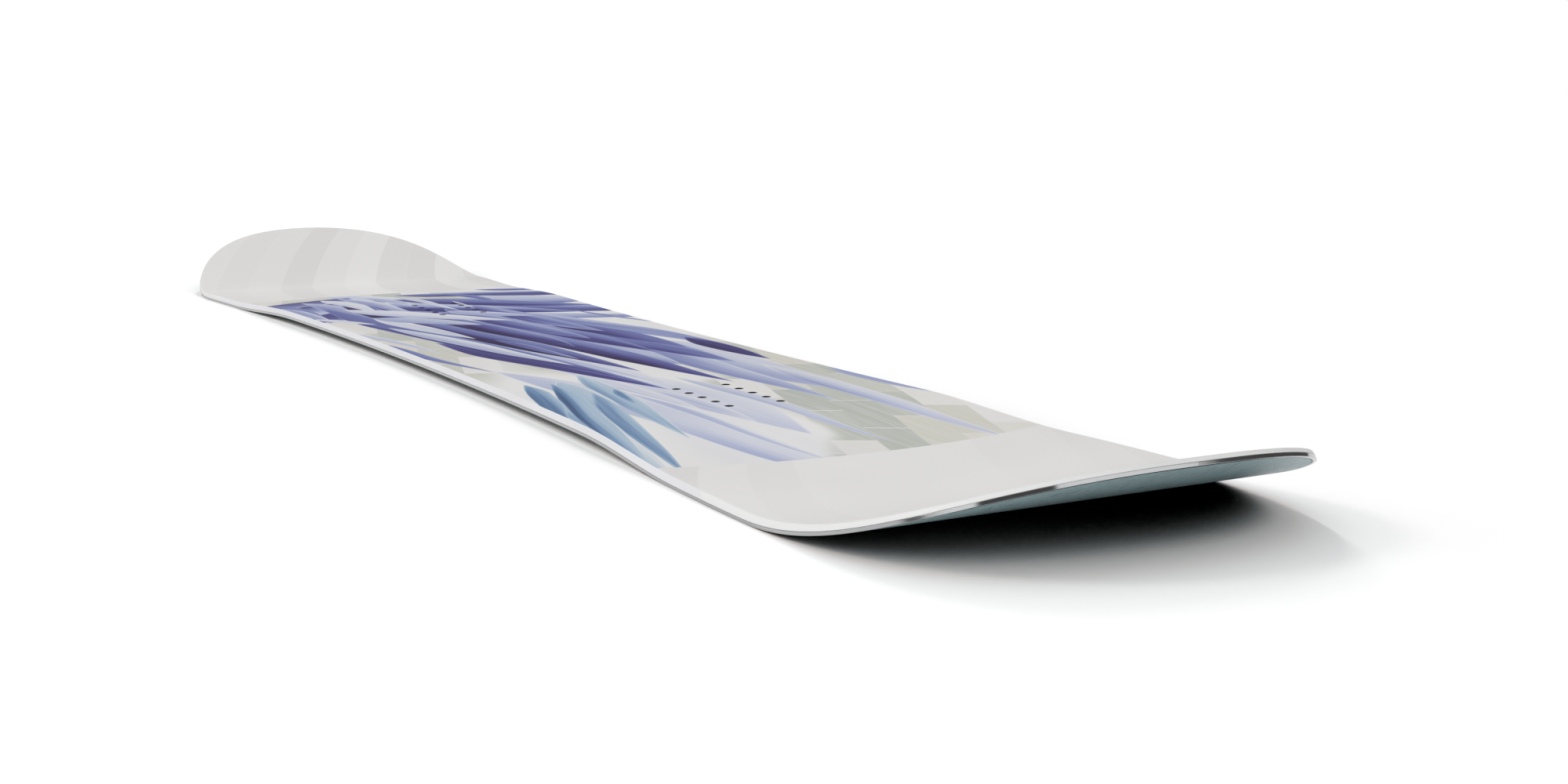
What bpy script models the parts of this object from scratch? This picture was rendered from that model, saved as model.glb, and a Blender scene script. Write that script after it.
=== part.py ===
"""A directional snowboard of sandwich construction, laid up flat and pressed to its camber and kicks.

Metres, +Z up. +X points to the nose and +Y to the left of a rider who looks at it. The origin is on the
ground, under the middle of the board's length. Every layer is drawn flat, as an inset from the plan
outline and a height above the running base, and then bent by press().
"""

import math

import bmesh
import bpy
import numpy as np

MM = 0.001

# Plan outline
LENGTH = 1545.0 * MM
WAIST_WIDTH = 256.0 * MM
WAIST_SETBACK = 45.0 * MM
SIDECUT_RADIUS = 7050.0 * MM
NOSE_CURVE_LENGTH = 200.0 * MM
NOSE_SHOULDER = 2.0
NOSE_BLUNTNESS = 2.0
TAIL_CURVE_LENGTH = 451.0 * MM
TAIL_SHOULDER = 6.0
TAIL_BLUNTNESS = 2.67

# Side profile of the running base
CAMBER_HEIGHT = 6.3 * MM
CONTACT_ZONE = 85.0 * MM
NOSE_KICK_LENGTH = 174.0 * MM
NOSE_KICK_HEIGHT = 53.0 * MM
NOSE_KICK_EARLY = 2.1
TAIL_KICK_LENGTH = 190.0 * MM
TAIL_KICK_HEIGHT = 50.0 * MM
TAIL_KICK_EARLY = 1.17

# Total thickness, from the base to the topsheet
THICKNESS = 7.4 * MM
TIP_THICKNESS = 4.8 * MM
TAPER_LENGTH = 260.0 * MM
SIDE_BEVEL = 1.0 * MM

# Layers
BOND_GAP = 0.25 * MM
BASE_THICKNESS = 1.25 * MM
TANG_THICKNESS = 0.6 * MM
LAMINATE_THICKNESS = 0.4 * MM
TOPSHEET_THICKNESS = 0.4 * MM

# Steel edge
EDGE_WIDTH = 2.0 * MM
TANG_WIDTH = 1.5 * MM
TOOTH_LENGTH = 4.0 * MM
TOOTH_PITCH = 40.0 * MM
TOOTH_SHARE = 0.62

# Sidewalls, tip spacers and the drape of the bottom laminate over the edge's teeth
SIDEWALL_OVERLAP = 3.0 * MM
SIDEWALL_LIP = 2.5 * MM
DRAPE_RUN = 1.2 * MM
SPACER_REACH = 54.0 * MM
SPACER_WIDTH = 24.0 * MM

# Core strips
INSERT_STRIP_WIDTH = 24.0 * MM
OUTER_STRIPS = 3

# Threaded inserts
STANCE = 568.0 * MM
STANCE_SETBACK = 9.0 * MM
INSERTS_PER_ROW = 5
INSERT_PITCH = 20.0 * MM
ROW_SPACING = 40.0 * MM
FLANGE_DIAMETER = 18.0 * MM
FLANGE_THICKNESS = 1.0 * MM
BARREL_DIAMETER = 9.0 * MM
THREAD_DIAMETER = 5.0 * MM
SCREW_HOLE_DIAMETER = 6.0 * MM
FLAT_MARGIN = 10.0 * MM

# Fineness of the model, in steps
TIP_STEPS = 15
TIP_CROWDING = 0.8
CAMBER_STEPS = 5
FLAT_STEPS = 5
INSERT_SIDES = 8
HOLE_SIDES = 10
SLOPE_STEP = 0.5 * MM
WELD_DISTANCE = 0.001 * MM

# Heights above the base, worked out from the layers
EDGE_HEIGHT = BASE_THICKNESS + BOND_GAP + TANG_THICKNESS
TANG_BOTTOM = BASE_THICKNESS + BOND_GAP
LAMINATE_LOW = BASE_THICKNESS + BOND_GAP
LAMINATE_RAISED = EDGE_HEIGHT + BOND_GAP
CORE_BOTTOM = LAMINATE_LOW + LAMINATE_THICKNESS + BOND_GAP
CORE_RAISED = LAMINATE_RAISED + LAMINATE_THICKNESS + BOND_GAP

# Depths below the deck, worked out from the layers
TOP_LAMINATE_DEPTH = TOPSHEET_THICKNESS + BOND_GAP
TOP_LAMINATE_UNDERSIDE = TOP_LAMINATE_DEPTH + LAMINATE_THICKNESS
CORE_DEPTH = TOP_LAMINATE_UNDERSIDE + BOND_GAP

# Insets from the plan outline, worked out from the edge and the sidewall
TOOTH_ROOT = EDGE_WIDTH + TANG_WIDTH
TOOTH_REACH = TOOTH_ROOT + TOOTH_LENGTH
CORE_INSET = TOOTH_REACH + SIDEWALL_OVERLAP
DRAPE_START = TOOTH_REACH + BOND_GAP
DRAPE_END = DRAPE_START + DRAPE_RUN
DRAPE_SHIFT = LAMINATE_THICKNESS / 2

# Lengthwise places, measured from the middle of the board
HALF_LENGTH = LENGTH / 2
ROW_LENGTH = (INSERTS_PER_ROW - 1) * INSERT_PITCH
FLAT_HALF = STANCE / 2 + ROW_LENGTH / 2 + FLAT_MARGIN
NOSE_CONTACT = HALF_LENGTH - NOSE_KICK_LENGTH
TAIL_CONTACT = HALF_LENGTH - TAIL_KICK_LENGTH
NOSE_CAMBER_END = NOSE_CONTACT - CONTACT_ZONE
TAIL_CAMBER_END = TAIL_CONTACT - CONTACT_ZONE


def smooth_step(t):
    """Ease from 0 to 1, with level ends."""
    t = np.clip(t, 0.0, 1.0)
    return t * t * (3 - 2 * t)


def tip_fade(reach, curve_length, shoulder, bluntness):
    """Superellipse that takes the half width from 1 to 0 over the curve at one end."""
    u = np.clip((reach - HALF_LENGTH) / curve_length + 1, 0.0, 1.0)
    return (1 - u**shoulder) ** (1 / bluntness)


def half_width(x):
    """Half width of the plan outline: the sidecut arc, faded out at both tips."""
    sidecut = WAIST_WIDTH / 2 + (x + WAIST_SETBACK) ** 2 / (2 * SIDECUT_RADIUS)
    nose = tip_fade(x, NOSE_CURVE_LENGTH, NOSE_SHOULDER, NOSE_BLUNTNESS)
    tail = tip_fade(-x, TAIL_CURVE_LENGTH, TAIL_SHOULDER, TAIL_BLUNTNESS)
    return sidecut * nose * tail


def kick(reach, length, height, early):
    """Rise of one end past its contact line; early is its starting curvature."""
    u = np.maximum((reach - HALF_LENGTH) / length + 1, 0.0)
    return height * (early * u**2 - (early - 1) * u**3)


def base_height(x):
    """Height of the running base above the ground."""
    from_stance = x + STANCE_SETBACK
    nose_run = NOSE_CAMBER_END + STANCE_SETBACK - FLAT_HALF
    tail_run = TAIL_CAMBER_END - STANCE_SETBACK - FLAT_HALF
    run = np.where(from_stance > 0, nose_run, tail_run)
    camber = CAMBER_HEIGHT * (1 - smooth_step((abs(from_stance) - FLAT_HALF) / run))
    nose = kick(x, NOSE_KICK_LENGTH, NOSE_KICK_HEIGHT, NOSE_KICK_EARLY)
    tail = kick(-x, TAIL_KICK_LENGTH, TAIL_KICK_HEIGHT, TAIL_KICK_EARLY)
    return camber + nose + tail


def thickness(x):
    """Total thickness, which tapers towards both tips."""
    to_tip = (abs(x) - HALF_LENGTH) / TAPER_LENGTH + 1
    return THICKNESS + (TIP_THICKNESS - THICKNESS) * smooth_step(to_tip)


def press(flat):
    """Bend flat points (x, y, height above the base) to the camber and kicks, square to the base."""
    x, y, height = flat.T
    slope = (base_height(x + SLOPE_STEP) - base_height(x - SLOPE_STEP)) / (2 * SLOPE_STEP)
    stretch = np.hypot(1.0, slope)
    return np.stack([x - height * slope / stretch, y, base_height(x) + height / stretch], axis=1)


def above_base(height):
    """Level at a fixed height above the base."""
    return lambda x: np.full_like(x, height)


def below_deck(depth):
    """Level at a fixed depth below the deck."""
    return lambda x: thickness(x) - depth


def station_places():
    """X of each station from the tail tip to the nose tip, closer together round the tips."""
    even = np.linspace(0.0, 1.0, TIP_STEPS + 1)
    sweep = even + TIP_CROWDING * (np.sin(even * math.pi / 2) - even)
    tail_tip = -(TAIL_CONTACT + TAIL_KICK_LENGTH * sweep)[::-1]
    nose_tip = NOSE_CONTACT + NOSE_KICK_LENGTH * sweep
    flat_tail = -STANCE_SETBACK - FLAT_HALF
    flat_nose = -STANCE_SETBACK + FLAT_HALF
    return np.concatenate([
        tail_tip,
        [-TAIL_CONTACT + SPACER_REACH],
        np.linspace(-TAIL_CAMBER_END, flat_tail, CAMBER_STEPS + 1),
        np.linspace(flat_tail, flat_nose, FLAT_STEPS + 1)[1:-1],
        np.linspace(flat_nose, NOSE_CAMBER_END, CAMBER_STEPS + 1),
        [NOSE_CONTACT - SPACER_REACH],
        nose_tip,
    ])


STATIONS = station_places()
LAST = len(STATIONS) - 1
RING = 2 * LAST
TAIL_JUNCTION = TIP_STEPS + 1
NOSE_JUNCTION = LAST - TIP_STEPS - 1
FLAT_FIRST = TAIL_JUNCTION + 1 + CAMBER_STEPS
FLAT_LAST = NOSE_JUNCTION - 1 - CAMBER_STEPS


def plan_outline():
    """Plan outline: from the tail tip up the right side to the nose tip, and back down the left."""
    width = half_width(STATIONS)
    width[[0, -1]] = 0.0
    right = np.stack([STATIONS, -width], axis=1)
    left = np.stack([STATIONS, width], axis=1)[-2:0:-1]
    return np.concatenate([right, left])


OUTLINE = plan_outline()


def inset_outline(inset):
    """Outline moved inwards by an inset, one for all points or one for each, with mitred corners."""
    run = np.roll(OUTLINE, -1, axis=0) - OUTLINE
    run /= np.linalg.norm(run, axis=1, keepdims=True)
    after = np.stack([-run[:, 1], run[:, 0]], axis=1)
    before = np.roll(after, 1, axis=0)
    mitre = (before + after) / (1 + np.sum(before * after, axis=1, keepdims=True))
    return OUTLINE + mitre * np.reshape(inset * np.ones(RING), (RING, 1))


def rail(inset, level):
    """One pressed line right round the board, at an inset from the outline and at a level."""
    plan = inset_outline(inset)
    return press(np.column_stack([plan, level(plan[:, 0])]))


def bevel_inset(level):
    """Inset of the bevelled side face at a level: none at the steel, SIDE_BEVEL at the deck."""
    x = OUTLINE[:, 0]
    return SIDE_BEVEL * (level(x) - EDGE_HEIGHT) / (thickness(x) - EDGE_HEIGHT)


def core_inset():
    """Inset of the core: the sidewall's width along the sides, widening to the spacer's at the tips."""
    x = OUTLINE[:, 0]
    nose = (x - NOSE_CONTACT + SPACER_REACH) / (SPACER_REACH + NOSE_KICK_LENGTH)
    tail = (-x - TAIL_CONTACT + SPACER_REACH) / (SPACER_REACH + TAIL_KICK_LENGTH)
    return CORE_INSET + (SPACER_WIDTH - CORE_INSET) * smooth_step(np.maximum(nose, tail))


def add_object(name, bm, material):
    """Close a bmesh into a named object with its faces pointing out."""
    bmesh.ops.remove_doubles(bm, verts=bm.verts, dist=WELD_DISTANCE)
    bmesh.ops.dissolve_degenerate(bm, edges=bm.edges, dist=WELD_DISTANCE)
    bmesh.ops.recalc_face_normals(bm, faces=bm.faces)
    mesh = bpy.data.meshes.new(name)
    bm.to_mesh(mesh)
    bm.free()
    mesh.materials.append(material)
    obj = bpy.data.objects.new(name, mesh)
    bpy.context.scene.collection.objects.link(obj)
    return obj


def new_faces(bm, verts, loops):
    """Add faces by vertex number; a corner that is listed twice in a face counts once."""
    faces = []
    for loop in loops:
        corners = list(dict.fromkeys(loop))
        faces.append(bm.faces.new([verts[i] for i in corners]))
    return faces


def mirror_station(i):
    """Ring number of the station across the board from station i."""
    return (RING - i) % RING


def rungs():
    """Faces across the board, station by station, with the flat middle as one face."""
    faces = []
    for i in range(LAST):
        if FLAT_FIRST <= i < FLAT_LAST:
            continue
        faces.append([i, i + 1, mirror_station(i + 1), mirror_station(i)])
    middle = list(range(FLAT_FIRST, FLAT_LAST + 1))
    faces.append(middle + [mirror_station(i) for i in reversed(middle)])
    return faces


def band(first, second):
    """Quads right round the board between two rings, given by the number of their first vertex."""
    after = [(i + 1) % RING for i in range(RING)]
    return [[first + i, first + after[i], second + after[i], second + i] for i in range(RING)]


def sheet(name, lower, upper, material):
    """Closed sheet from the rails of its lower and its upper face, each listed from the rim inwards."""
    bm = bmesh.new()
    rails = lower + upper
    verts = [bm.verts.new(point) for point in np.concatenate(rails)]
    starts = [RING * k for k in range(len(rails))]
    under = starts[:len(lower)]
    over = starts[len(lower):]
    faces = band(under[0], over[0])
    for side in (under, over):
        for outer, inner in zip(side, side[1:]):
            faces += band(outer, inner)
        faces += [[side[-1] + i for i in rung] for rung in rungs()]
    new_faces(bm, verts, faces)
    return add_object(name, bm, material)


def along_rim(first, last):
    """Ring numbers from one station to another, in the order of the outline."""
    return [i % RING for i in range(first, last + 1)]


def trim_ends(sections):
    """Shorten a run of sections by half a bond gap at each end."""
    for end, neighbour in ((0, 1), (-1, -2)):
        run = sections[neighbour] - sections[end]
        length = np.linalg.norm(run, axis=1, keepdims=True)
        sections[end] += run / length * BOND_GAP / 2
    return sections


def loft(bm, sections):
    """Skin a run of closed sections and cap both ends; returns the skin's faces by span and by side."""
    count, sides = sections.shape[:2]
    verts = [bm.verts.new(point) for point in sections.reshape(-1, 3)]
    skin = []
    for k in range(count - 1):
        here = k * sides
        there = here + sides
        span = [[here + j, there + j, there + (j + 1) % sides, here + (j + 1) % sides] for j in range(sides)]
        skin.append(new_faces(bm, verts, span))
    last = (count - 1) * sides
    new_faces(bm, verts, [list(range(sides)), list(range(last, last + sides))])
    return skin


def rim_strip(name, rails, first, last, material):
    """Closed strip that follows the rim from one station to another."""
    stations = along_rim(first, last)
    sections = np.stack([line[stations] for line in rails], axis=1)
    bm = bmesh.new()
    loft(bm, trim_ends(sections))
    return add_object(name, bm, material)


def make_base(material):
    """Running base, cut to lie inside the steel edges."""
    inset = EDGE_WIDTH + BOND_GAP
    lower = rail(inset, above_base(0.0))
    upper = rail(inset, above_base(BASE_THICKNESS))
    return sheet("base_sheet", [lower], [upper], material)


def make_bottom_laminate(material):
    """Bottom laminate: it lies on the base and drapes up over the teeth of the steel edges."""
    rim = SIDEWALL_LIP + BOND_GAP

    def face(rise, shift):
        return [
            rail(rim, above_base(LAMINATE_RAISED + rise)),
            rail(DRAPE_START + shift, above_base(LAMINATE_RAISED + rise)),
            rail(DRAPE_END + shift, above_base(LAMINATE_LOW + rise)),
        ]

    upper = face(LAMINATE_THICKNESS, DRAPE_SHIFT)
    return sheet("bottom_laminate", face(0.0, 0.0), upper, material)


def make_top_laminate(material):
    """Top laminate: it lies on the core and inside the sidewalls' upper lips."""
    lower_level = below_deck(TOP_LAMINATE_UNDERSIDE)
    upper_level = below_deck(TOP_LAMINATE_DEPTH)
    rim = bevel_inset(upper_level) + SIDEWALL_LIP + BOND_GAP
    return sheet("top_laminate", [rail(rim, lower_level)], [rail(rim, upper_level)], material)


def make_topsheet(material):
    """Topsheet, with its rim on the bevel of the side."""
    lower_level = below_deck(TOPSHEET_THICKNESS)
    upper_level = below_deck(0.0)
    lower = rail(bevel_inset(lower_level), lower_level)
    upper = rail(bevel_inset(upper_level), upper_level)
    return sheet("topsheet", [lower], [upper], material)


def side_rails(inner):
    """Section of a sidewall or spacer: lips under the topsheet and over the steel, rebates between."""
    foot = above_base(EDGE_HEIGHT + BOND_GAP)
    raised = above_base(CORE_RAISED)
    low = above_base(CORE_BOTTOM)
    shelf = below_deck(CORE_DEPTH)
    head = below_deck(TOPSHEET_THICKNESS + BOND_GAP)
    step = CORE_INSET - BOND_GAP
    upper_lip = bevel_inset(head) + SIDEWALL_LIP
    return [
        rail(bevel_inset(foot), foot),
        rail(SIDEWALL_LIP, foot),
        rail(SIDEWALL_LIP, raised),
        rail(step, raised),
        rail(step, low),
        rail(inner - BOND_GAP, low),
        rail(inner - BOND_GAP, shelf),
        rail(step, shelf),
        rail(upper_lip, shelf),
        rail(upper_lip, head),
        rail(bevel_inset(head), head),
    ]


def make_sidewalls_and_spacers(sidewall_material, spacer_material):
    """Sidewalls along both edges and the crescent spacers that close the rim at both tips."""
    tips = side_rails(core_inset())
    side = tips[:4] + tips[7:]
    left_first = mirror_station(NOSE_JUNCTION)
    left_last = mirror_station(TAIL_JUNCTION)
    return [
        rim_strip("sidewall_right", side, TAIL_JUNCTION, NOSE_JUNCTION, sidewall_material),
        rim_strip("sidewall_left", side, left_first, left_last, sidewall_material),
        rim_strip("nose_spacer", tips, NOSE_JUNCTION, left_first, spacer_material),
        rim_strip("tail_spacer", tips, left_last, RING + TAIL_JUNCTION, spacer_material),
    ]


def tooth_stations(sections):
    """Split an edge's spans into teeth and gaps; returns the finer run and the spans with a tooth.

    A span shorter than a tooth's pitch is a whole tooth or a whole gap, by turns.
    """
    finer = [sections[0]]
    toothed = []
    gap_next = False
    for here, there in zip(sections, sections[1:]):
        span = np.linalg.norm(there[0] - here[0])
        cells = round(span / TOOTH_PITCH)
        if not gap_next or cells:
            toothed.append(len(finer) - 1)
        gap_next = not gap_next and not cells
        for cell in range(1, cells + 1):
            finer.append(here + (there - here) * (cell - 1 + TOOTH_SHARE) / cells)
            if cell < cells:
                finer.append(here + (there - here) * cell / cells)
                toothed.append(len(finer) - 1)
        finer.append(there)
    return np.array(finer), toothed


def make_steel_edge(name, stations, side, material):
    """Steel edge of one side: a square running profile with a punched tang, from tail tip to nose tip.

    Nothing of it comes nearer the middle line than half a bond gap, so the two edges meet at both tips.
    """
    rails = [
        rail(0.0, above_base(0.0)),
        rail(EDGE_WIDTH, above_base(0.0)),
        rail(EDGE_WIDTH, above_base(TANG_BOTTOM)),
        rail(TOOTH_ROOT, above_base(TANG_BOTTOM)),
        rail(TOOTH_ROOT, above_base(EDGE_HEIGHT)),
        rail(0.0, above_base(EDGE_HEIGHT)),
    ]
    sections = np.stack([line[stations] for line in rails], axis=1)
    sections[:, :, 1] = side * np.maximum(side * sections[:, :, 1], BOND_GAP / 2)
    sections, toothed = tooth_stations(sections)
    bm = bmesh.new()
    skin = loft(bm, sections)
    bmesh.ops.recalc_face_normals(bm, faces=bm.faces)
    tang_faces = [skin[k][3] for k in toothed]
    teeth = bmesh.ops.extrude_discrete_faces(bm, faces=tang_faces)["faces"]
    for tooth in teeth:
        tooth.normal_update()
        bmesh.ops.translate(bm, verts=tooth.verts, vec=tooth.normal * TOOTH_LENGTH)
        for corner in tooth.verts:
            corner.co.y = side * max(side * corner.co.y, BOND_GAP / 2)
    return add_object(name, bm, material)


def hide_cutter(obj):
    """Keep a cutter out of the model."""
    obj.hide_render = True
    obj.display_type = "WIRE"
    return obj


def add_boolean(obj, cutter, operation):
    """Live exact Boolean with a cutter."""
    modifier = obj.modifiers.new(cutter.name, "BOOLEAN")
    modifier.operation = operation
    modifier.solver = "EXACT"
    modifier.object = cutter


def slab_cutter(name, low_y, high_y):
    """Upright slab between two saw cuts, longer and taller than the board."""
    bm = bmesh.new()
    bmesh.ops.create_cube(bm, size=1.0)
    size = (2 * LENGTH, high_y - low_y, LENGTH)
    bmesh.ops.scale(bm, verts=bm.verts, vec=size)
    bmesh.ops.translate(bm, verts=bm.verts, vec=(0.0, (low_y + high_y) / 2, 0.0))
    return hide_cutter(add_object(name, bm, None))


def core_strip_cuts():
    """Name and two saw lines of each core strip on one side; the outermost one is left uncut outside."""
    inner = (ROW_SPACING - INSERT_STRIP_WIDTH) / 2
    outer = inner + INSERT_STRIP_WIDTH
    saw_lines = np.linspace(outer, WAIST_WIDTH / 2 - CORE_INSET, OUTER_STRIPS + 1)
    saw_lines[-1] = WAIST_WIDTH
    names = ["core_insert_strip"] + [f"core_strip_{k + 1}" for k in range(OUTER_STRIPS)]
    return list(zip(names, [inner, *saw_lines[:-1]], saw_lines))


def make_core(poplar, hardwood, pockets):
    """Core blank, ripped into upright strips; the strips under the inserts are hardwood."""
    lower = rail(core_inset(), above_base(CORE_BOTTOM))
    upper = rail(core_inset(), below_deck(CORE_DEPTH))
    centre_half = (ROW_SPACING - INSERT_STRIP_WIDTH) / 2
    strips = [("core_strip_centre", -centre_half, centre_half)]
    for side, word in ((1, "left"), (-1, "right")):
        for name, low, high in core_strip_cuts():
            near, far = sorted((side * low, side * high))
            strips.append((f"{name}_{word}", near, far))
    made = []
    for name, low, high in strips:
        holds_inserts = name.startswith("core_insert_strip")
        strip = sheet(name, [lower], [upper], hardwood if holds_inserts else poplar)
        cutter = slab_cutter(f"cut_{name}", low + BOND_GAP / 2, high - BOND_GAP / 2)
        add_boolean(strip, cutter, "INTERSECT")
        if holds_inserts:
            add_boolean(strip, pockets, "DIFFERENCE")
        made.append(strip)
    return made


def turned_group(name, profile, centres, sides, material):
    """Solids turned about upright axes, from a profile of (radius, height) corners, at each centre."""
    bm = bmesh.new()
    for centre in centres:
        corners = [bm.verts.new((radius, 0.0, height)) for radius, height in profile]
        wire = [bm.edges.new(pair) for pair in zip(corners, corners[1:])]
        if profile[0][0] > 0:
            wire.append(bm.edges.new((corners[-1], corners[0])))
        before = set(bm.verts) - set(corners)
        bmesh.ops.spin(bm, geom=corners + wire, cent=(0.0, 0.0, 0.0), axis=(0.0, 0.0, 1.0),
                       angle=math.tau, steps=sides, use_merge=True)
        made = [vert for vert in bm.verts if vert not in before]
        bmesh.ops.translate(bm, verts=made, vec=(centre[0], centre[1], 0.0))
    return add_object(name, bm, material)


def row_places():
    """X of each insert in a row, measured from the middle of the row."""
    return (np.arange(INSERTS_PER_ROW) - (INSERTS_PER_ROW - 1) / 2) * INSERT_PITCH


def insert_rows():
    """Name and centre of each row of inserts."""
    rows = []
    for end, end_word in ((1, "nose"), (-1, "tail")):
        for side, side_word in ((1, "left"), (-1, "right")):
            centre = (-STANCE_SETBACK + end * STANCE / 2, side * ROW_SPACING / 2)
            rows.append((f"insert_{end_word}_{side_word}", centre))
    return rows


def all_insert_centres():
    """Plan place of every insert."""
    return [(x + dx, y) for _, (x, y) in insert_rows() for dx in row_places()]


def make_pocket_cutter():
    """Stepped holes in the core: a wide one below for the flanges and a narrow one for the barrels."""
    deck = CAMBER_HEIGHT + THICKNESS
    below = CAMBER_HEIGHT + BASE_THICKNESS
    ledge = CAMBER_HEIGHT + CORE_BOTTOM + FLANGE_THICKNESS + BOND_GAP
    wide = FLANGE_DIAMETER / 2 + BOND_GAP
    narrow = BARREL_DIAMETER / 2 + BOND_GAP
    profile = [(0.0, below), (wide, below), (wide, ledge), (narrow, ledge), (narrow, deck), (0.0, deck)]
    return hide_cutter(turned_group("cut_pockets", profile, all_insert_centres(), INSERT_SIDES, None))


def make_screw_hole_cutter():
    """Drilled screw holes through the topsheet and the top laminate."""
    below = CAMBER_HEIGHT + THICKNESS - CORE_DEPTH
    above = CAMBER_HEIGHT + THICKNESS + TOPSHEET_THICKNESS
    radius = SCREW_HOLE_DIAMETER / 2
    profile = [(0.0, below), (radius, below), (radius, above), (0.0, above)]
    return hide_cutter(turned_group("cut_screw_holes", profile, all_insert_centres(), HOLE_SIDES, None))


def make_inserts(material):
    """Flanged inserts, seated in the core from below, with their barrels up to the core's top face."""
    foot = CORE_BOTTOM
    head = THICKNESS - CORE_DEPTH
    bore = THREAD_DIAMETER / 2
    flange = FLANGE_DIAMETER / 2
    barrel = BARREL_DIAMETER / 2
    ledge = foot + FLANGE_THICKNESS
    profile = [(bore, foot), (flange, foot), (flange, ledge), (barrel, ledge), (barrel, head), (bore, head)]
    first = turned_group("insert", profile, [(0.0, 0.0)], INSERT_SIDES, material)
    mesh = first.data
    bpy.data.objects.remove(first)
    inserts = []
    for name, (x, y) in insert_rows():
        for number, dx in enumerate(row_places(), 1):
            insert = bpy.data.objects.new(f"{name}_{number}", mesh)
            bpy.context.scene.collection.objects.link(insert)
            insert.location = (x + dx, y, CAMBER_HEIGHT)
            inserts.append(insert)
    return inserts


def finish(name, color, roughness, metallic=0.0):
    """Principled material."""
    material = bpy.data.materials.new(name)
    material.use_nodes = True
    shader = material.node_tree.nodes["Principled BSDF"]
    shader.inputs["Base Color"].default_value = (*color, 1.0)
    shader.inputs["Roughness"].default_value = roughness
    shader.inputs["Metallic"].default_value = metallic
    return material


def build_board():
    """Make every piece and gather them under one empty at the origin."""
    topsheet_white = finish("topsheet_white", (0.74, 0.74, 0.76), 0.35)
    sidewall_white = finish("sidewall_white", (0.80, 0.82, 0.86), 0.45)
    spacer_white = finish("spacer_white", (0.86, 0.86, 0.85), 0.45)
    edge_steel = finish("edge_steel", (0.56, 0.57, 0.58), 0.25, 1.0)
    base_grey_blue = finish("base_grey_blue", (0.40, 0.52, 0.56), 0.30)
    glass_laminate = finish("glass_laminate", (0.72, 0.76, 0.68), 0.40)
    poplar = finish("poplar", (0.72, 0.58, 0.40), 0.60)
    hardwood = finish("hardwood", (0.52, 0.34, 0.20), 0.55)
    insert_steel = finish("insert_steel", (0.45, 0.45, 0.46), 0.35, 1.0)

    pockets = make_pocket_cutter()
    screw_holes = make_screw_hole_cutter()
    top_laminate = make_top_laminate(glass_laminate)
    topsheet = make_topsheet(topsheet_white)
    for drilled in (top_laminate, topsheet):
        add_boolean(drilled, screw_holes, "DIFFERENCE")

    right_side = list(range(LAST + 1))
    left_side = [mirror_station(i) for i in right_side]
    pieces = [
        make_base(base_grey_blue),
        make_steel_edge("steel_edge_right", right_side, -1, edge_steel),
        make_steel_edge("steel_edge_left", left_side, 1, edge_steel),
        make_bottom_laminate(glass_laminate),
        top_laminate,
        topsheet,
    ]
    pieces += make_core(poplar, hardwood, pockets)
    pieces += make_sidewalls_and_spacers(sidewall_white, spacer_white)
    pieces += make_inserts(insert_steel)

    board = bpy.data.objects.new("board", None)
    bpy.context.scene.collection.objects.link(board)
    for piece in pieces:
        piece.parent = board


for old in list(bpy.data.objects):
    bpy.data.objects.remove(old, do_unlink=True)
build_board()
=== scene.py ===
# %% [markdown]
# # A snowboard, dressed for its portrait
#
# A snowboard is a sandwich that was pressed in a mould: a running base and two steel edges at the bottom,
# glass laminates round a wood core, a printed topsheet on the deck, and plastic walls that close its rim.
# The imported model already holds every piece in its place. This lesson gives the pieces that show a finer
# surface, each worked out from a few formulas, and gives every piece a finish made of shader nodes.

# %% The frame
import math

import bmesh
import bpy
import numpy as np
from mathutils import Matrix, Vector


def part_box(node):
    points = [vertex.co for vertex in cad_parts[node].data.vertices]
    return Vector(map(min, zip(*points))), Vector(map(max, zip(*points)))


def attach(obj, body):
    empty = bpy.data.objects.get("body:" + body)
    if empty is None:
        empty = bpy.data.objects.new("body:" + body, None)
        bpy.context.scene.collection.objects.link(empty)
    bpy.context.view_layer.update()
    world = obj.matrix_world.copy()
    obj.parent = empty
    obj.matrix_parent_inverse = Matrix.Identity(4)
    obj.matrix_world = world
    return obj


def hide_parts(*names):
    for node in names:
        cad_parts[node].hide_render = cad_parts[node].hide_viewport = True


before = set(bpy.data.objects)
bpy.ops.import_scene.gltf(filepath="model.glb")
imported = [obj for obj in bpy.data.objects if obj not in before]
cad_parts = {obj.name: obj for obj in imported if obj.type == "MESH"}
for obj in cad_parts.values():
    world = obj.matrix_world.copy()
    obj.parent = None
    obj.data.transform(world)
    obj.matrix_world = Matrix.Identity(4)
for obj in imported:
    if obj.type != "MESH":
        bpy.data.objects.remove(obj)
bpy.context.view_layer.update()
MM = 0.001
print("pieces in the frame:", len(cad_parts))

# %% [markdown]
# ## The camera comes first
#
# The photographer stood low behind the tail, a little to the left, and looked along the board. A picture
# is judged from one place, so the camera is fixed before any surface is made. Its place was worked out
# from the screw holes, because their 20 by 40 mm pattern is the same on every board.

# %% The camera
PICTURE = (2000, 1000)
SENSOR_WIDTH = 36.0
FOCAL_PIXELS = 2389.4
CAMERA_PLACE = Vector((-1.4347, 0.6082, 0.2334))
CAMERA_HEADING = math.radians(330.20)
CAMERA_PITCH = math.radians(9.557)


def direction(heading, height):
    """Unit vector (cos heading cos height, sin heading cos height, sin height)."""
    flat = math.cos(height)
    return Vector((math.cos(heading) * flat, math.sin(heading) * flat, math.sin(height)))


def stand(name, data):
    """New object in the scene."""
    thing = bpy.data.objects.new(name, data)
    bpy.context.scene.collection.objects.link(thing)
    return thing


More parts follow.
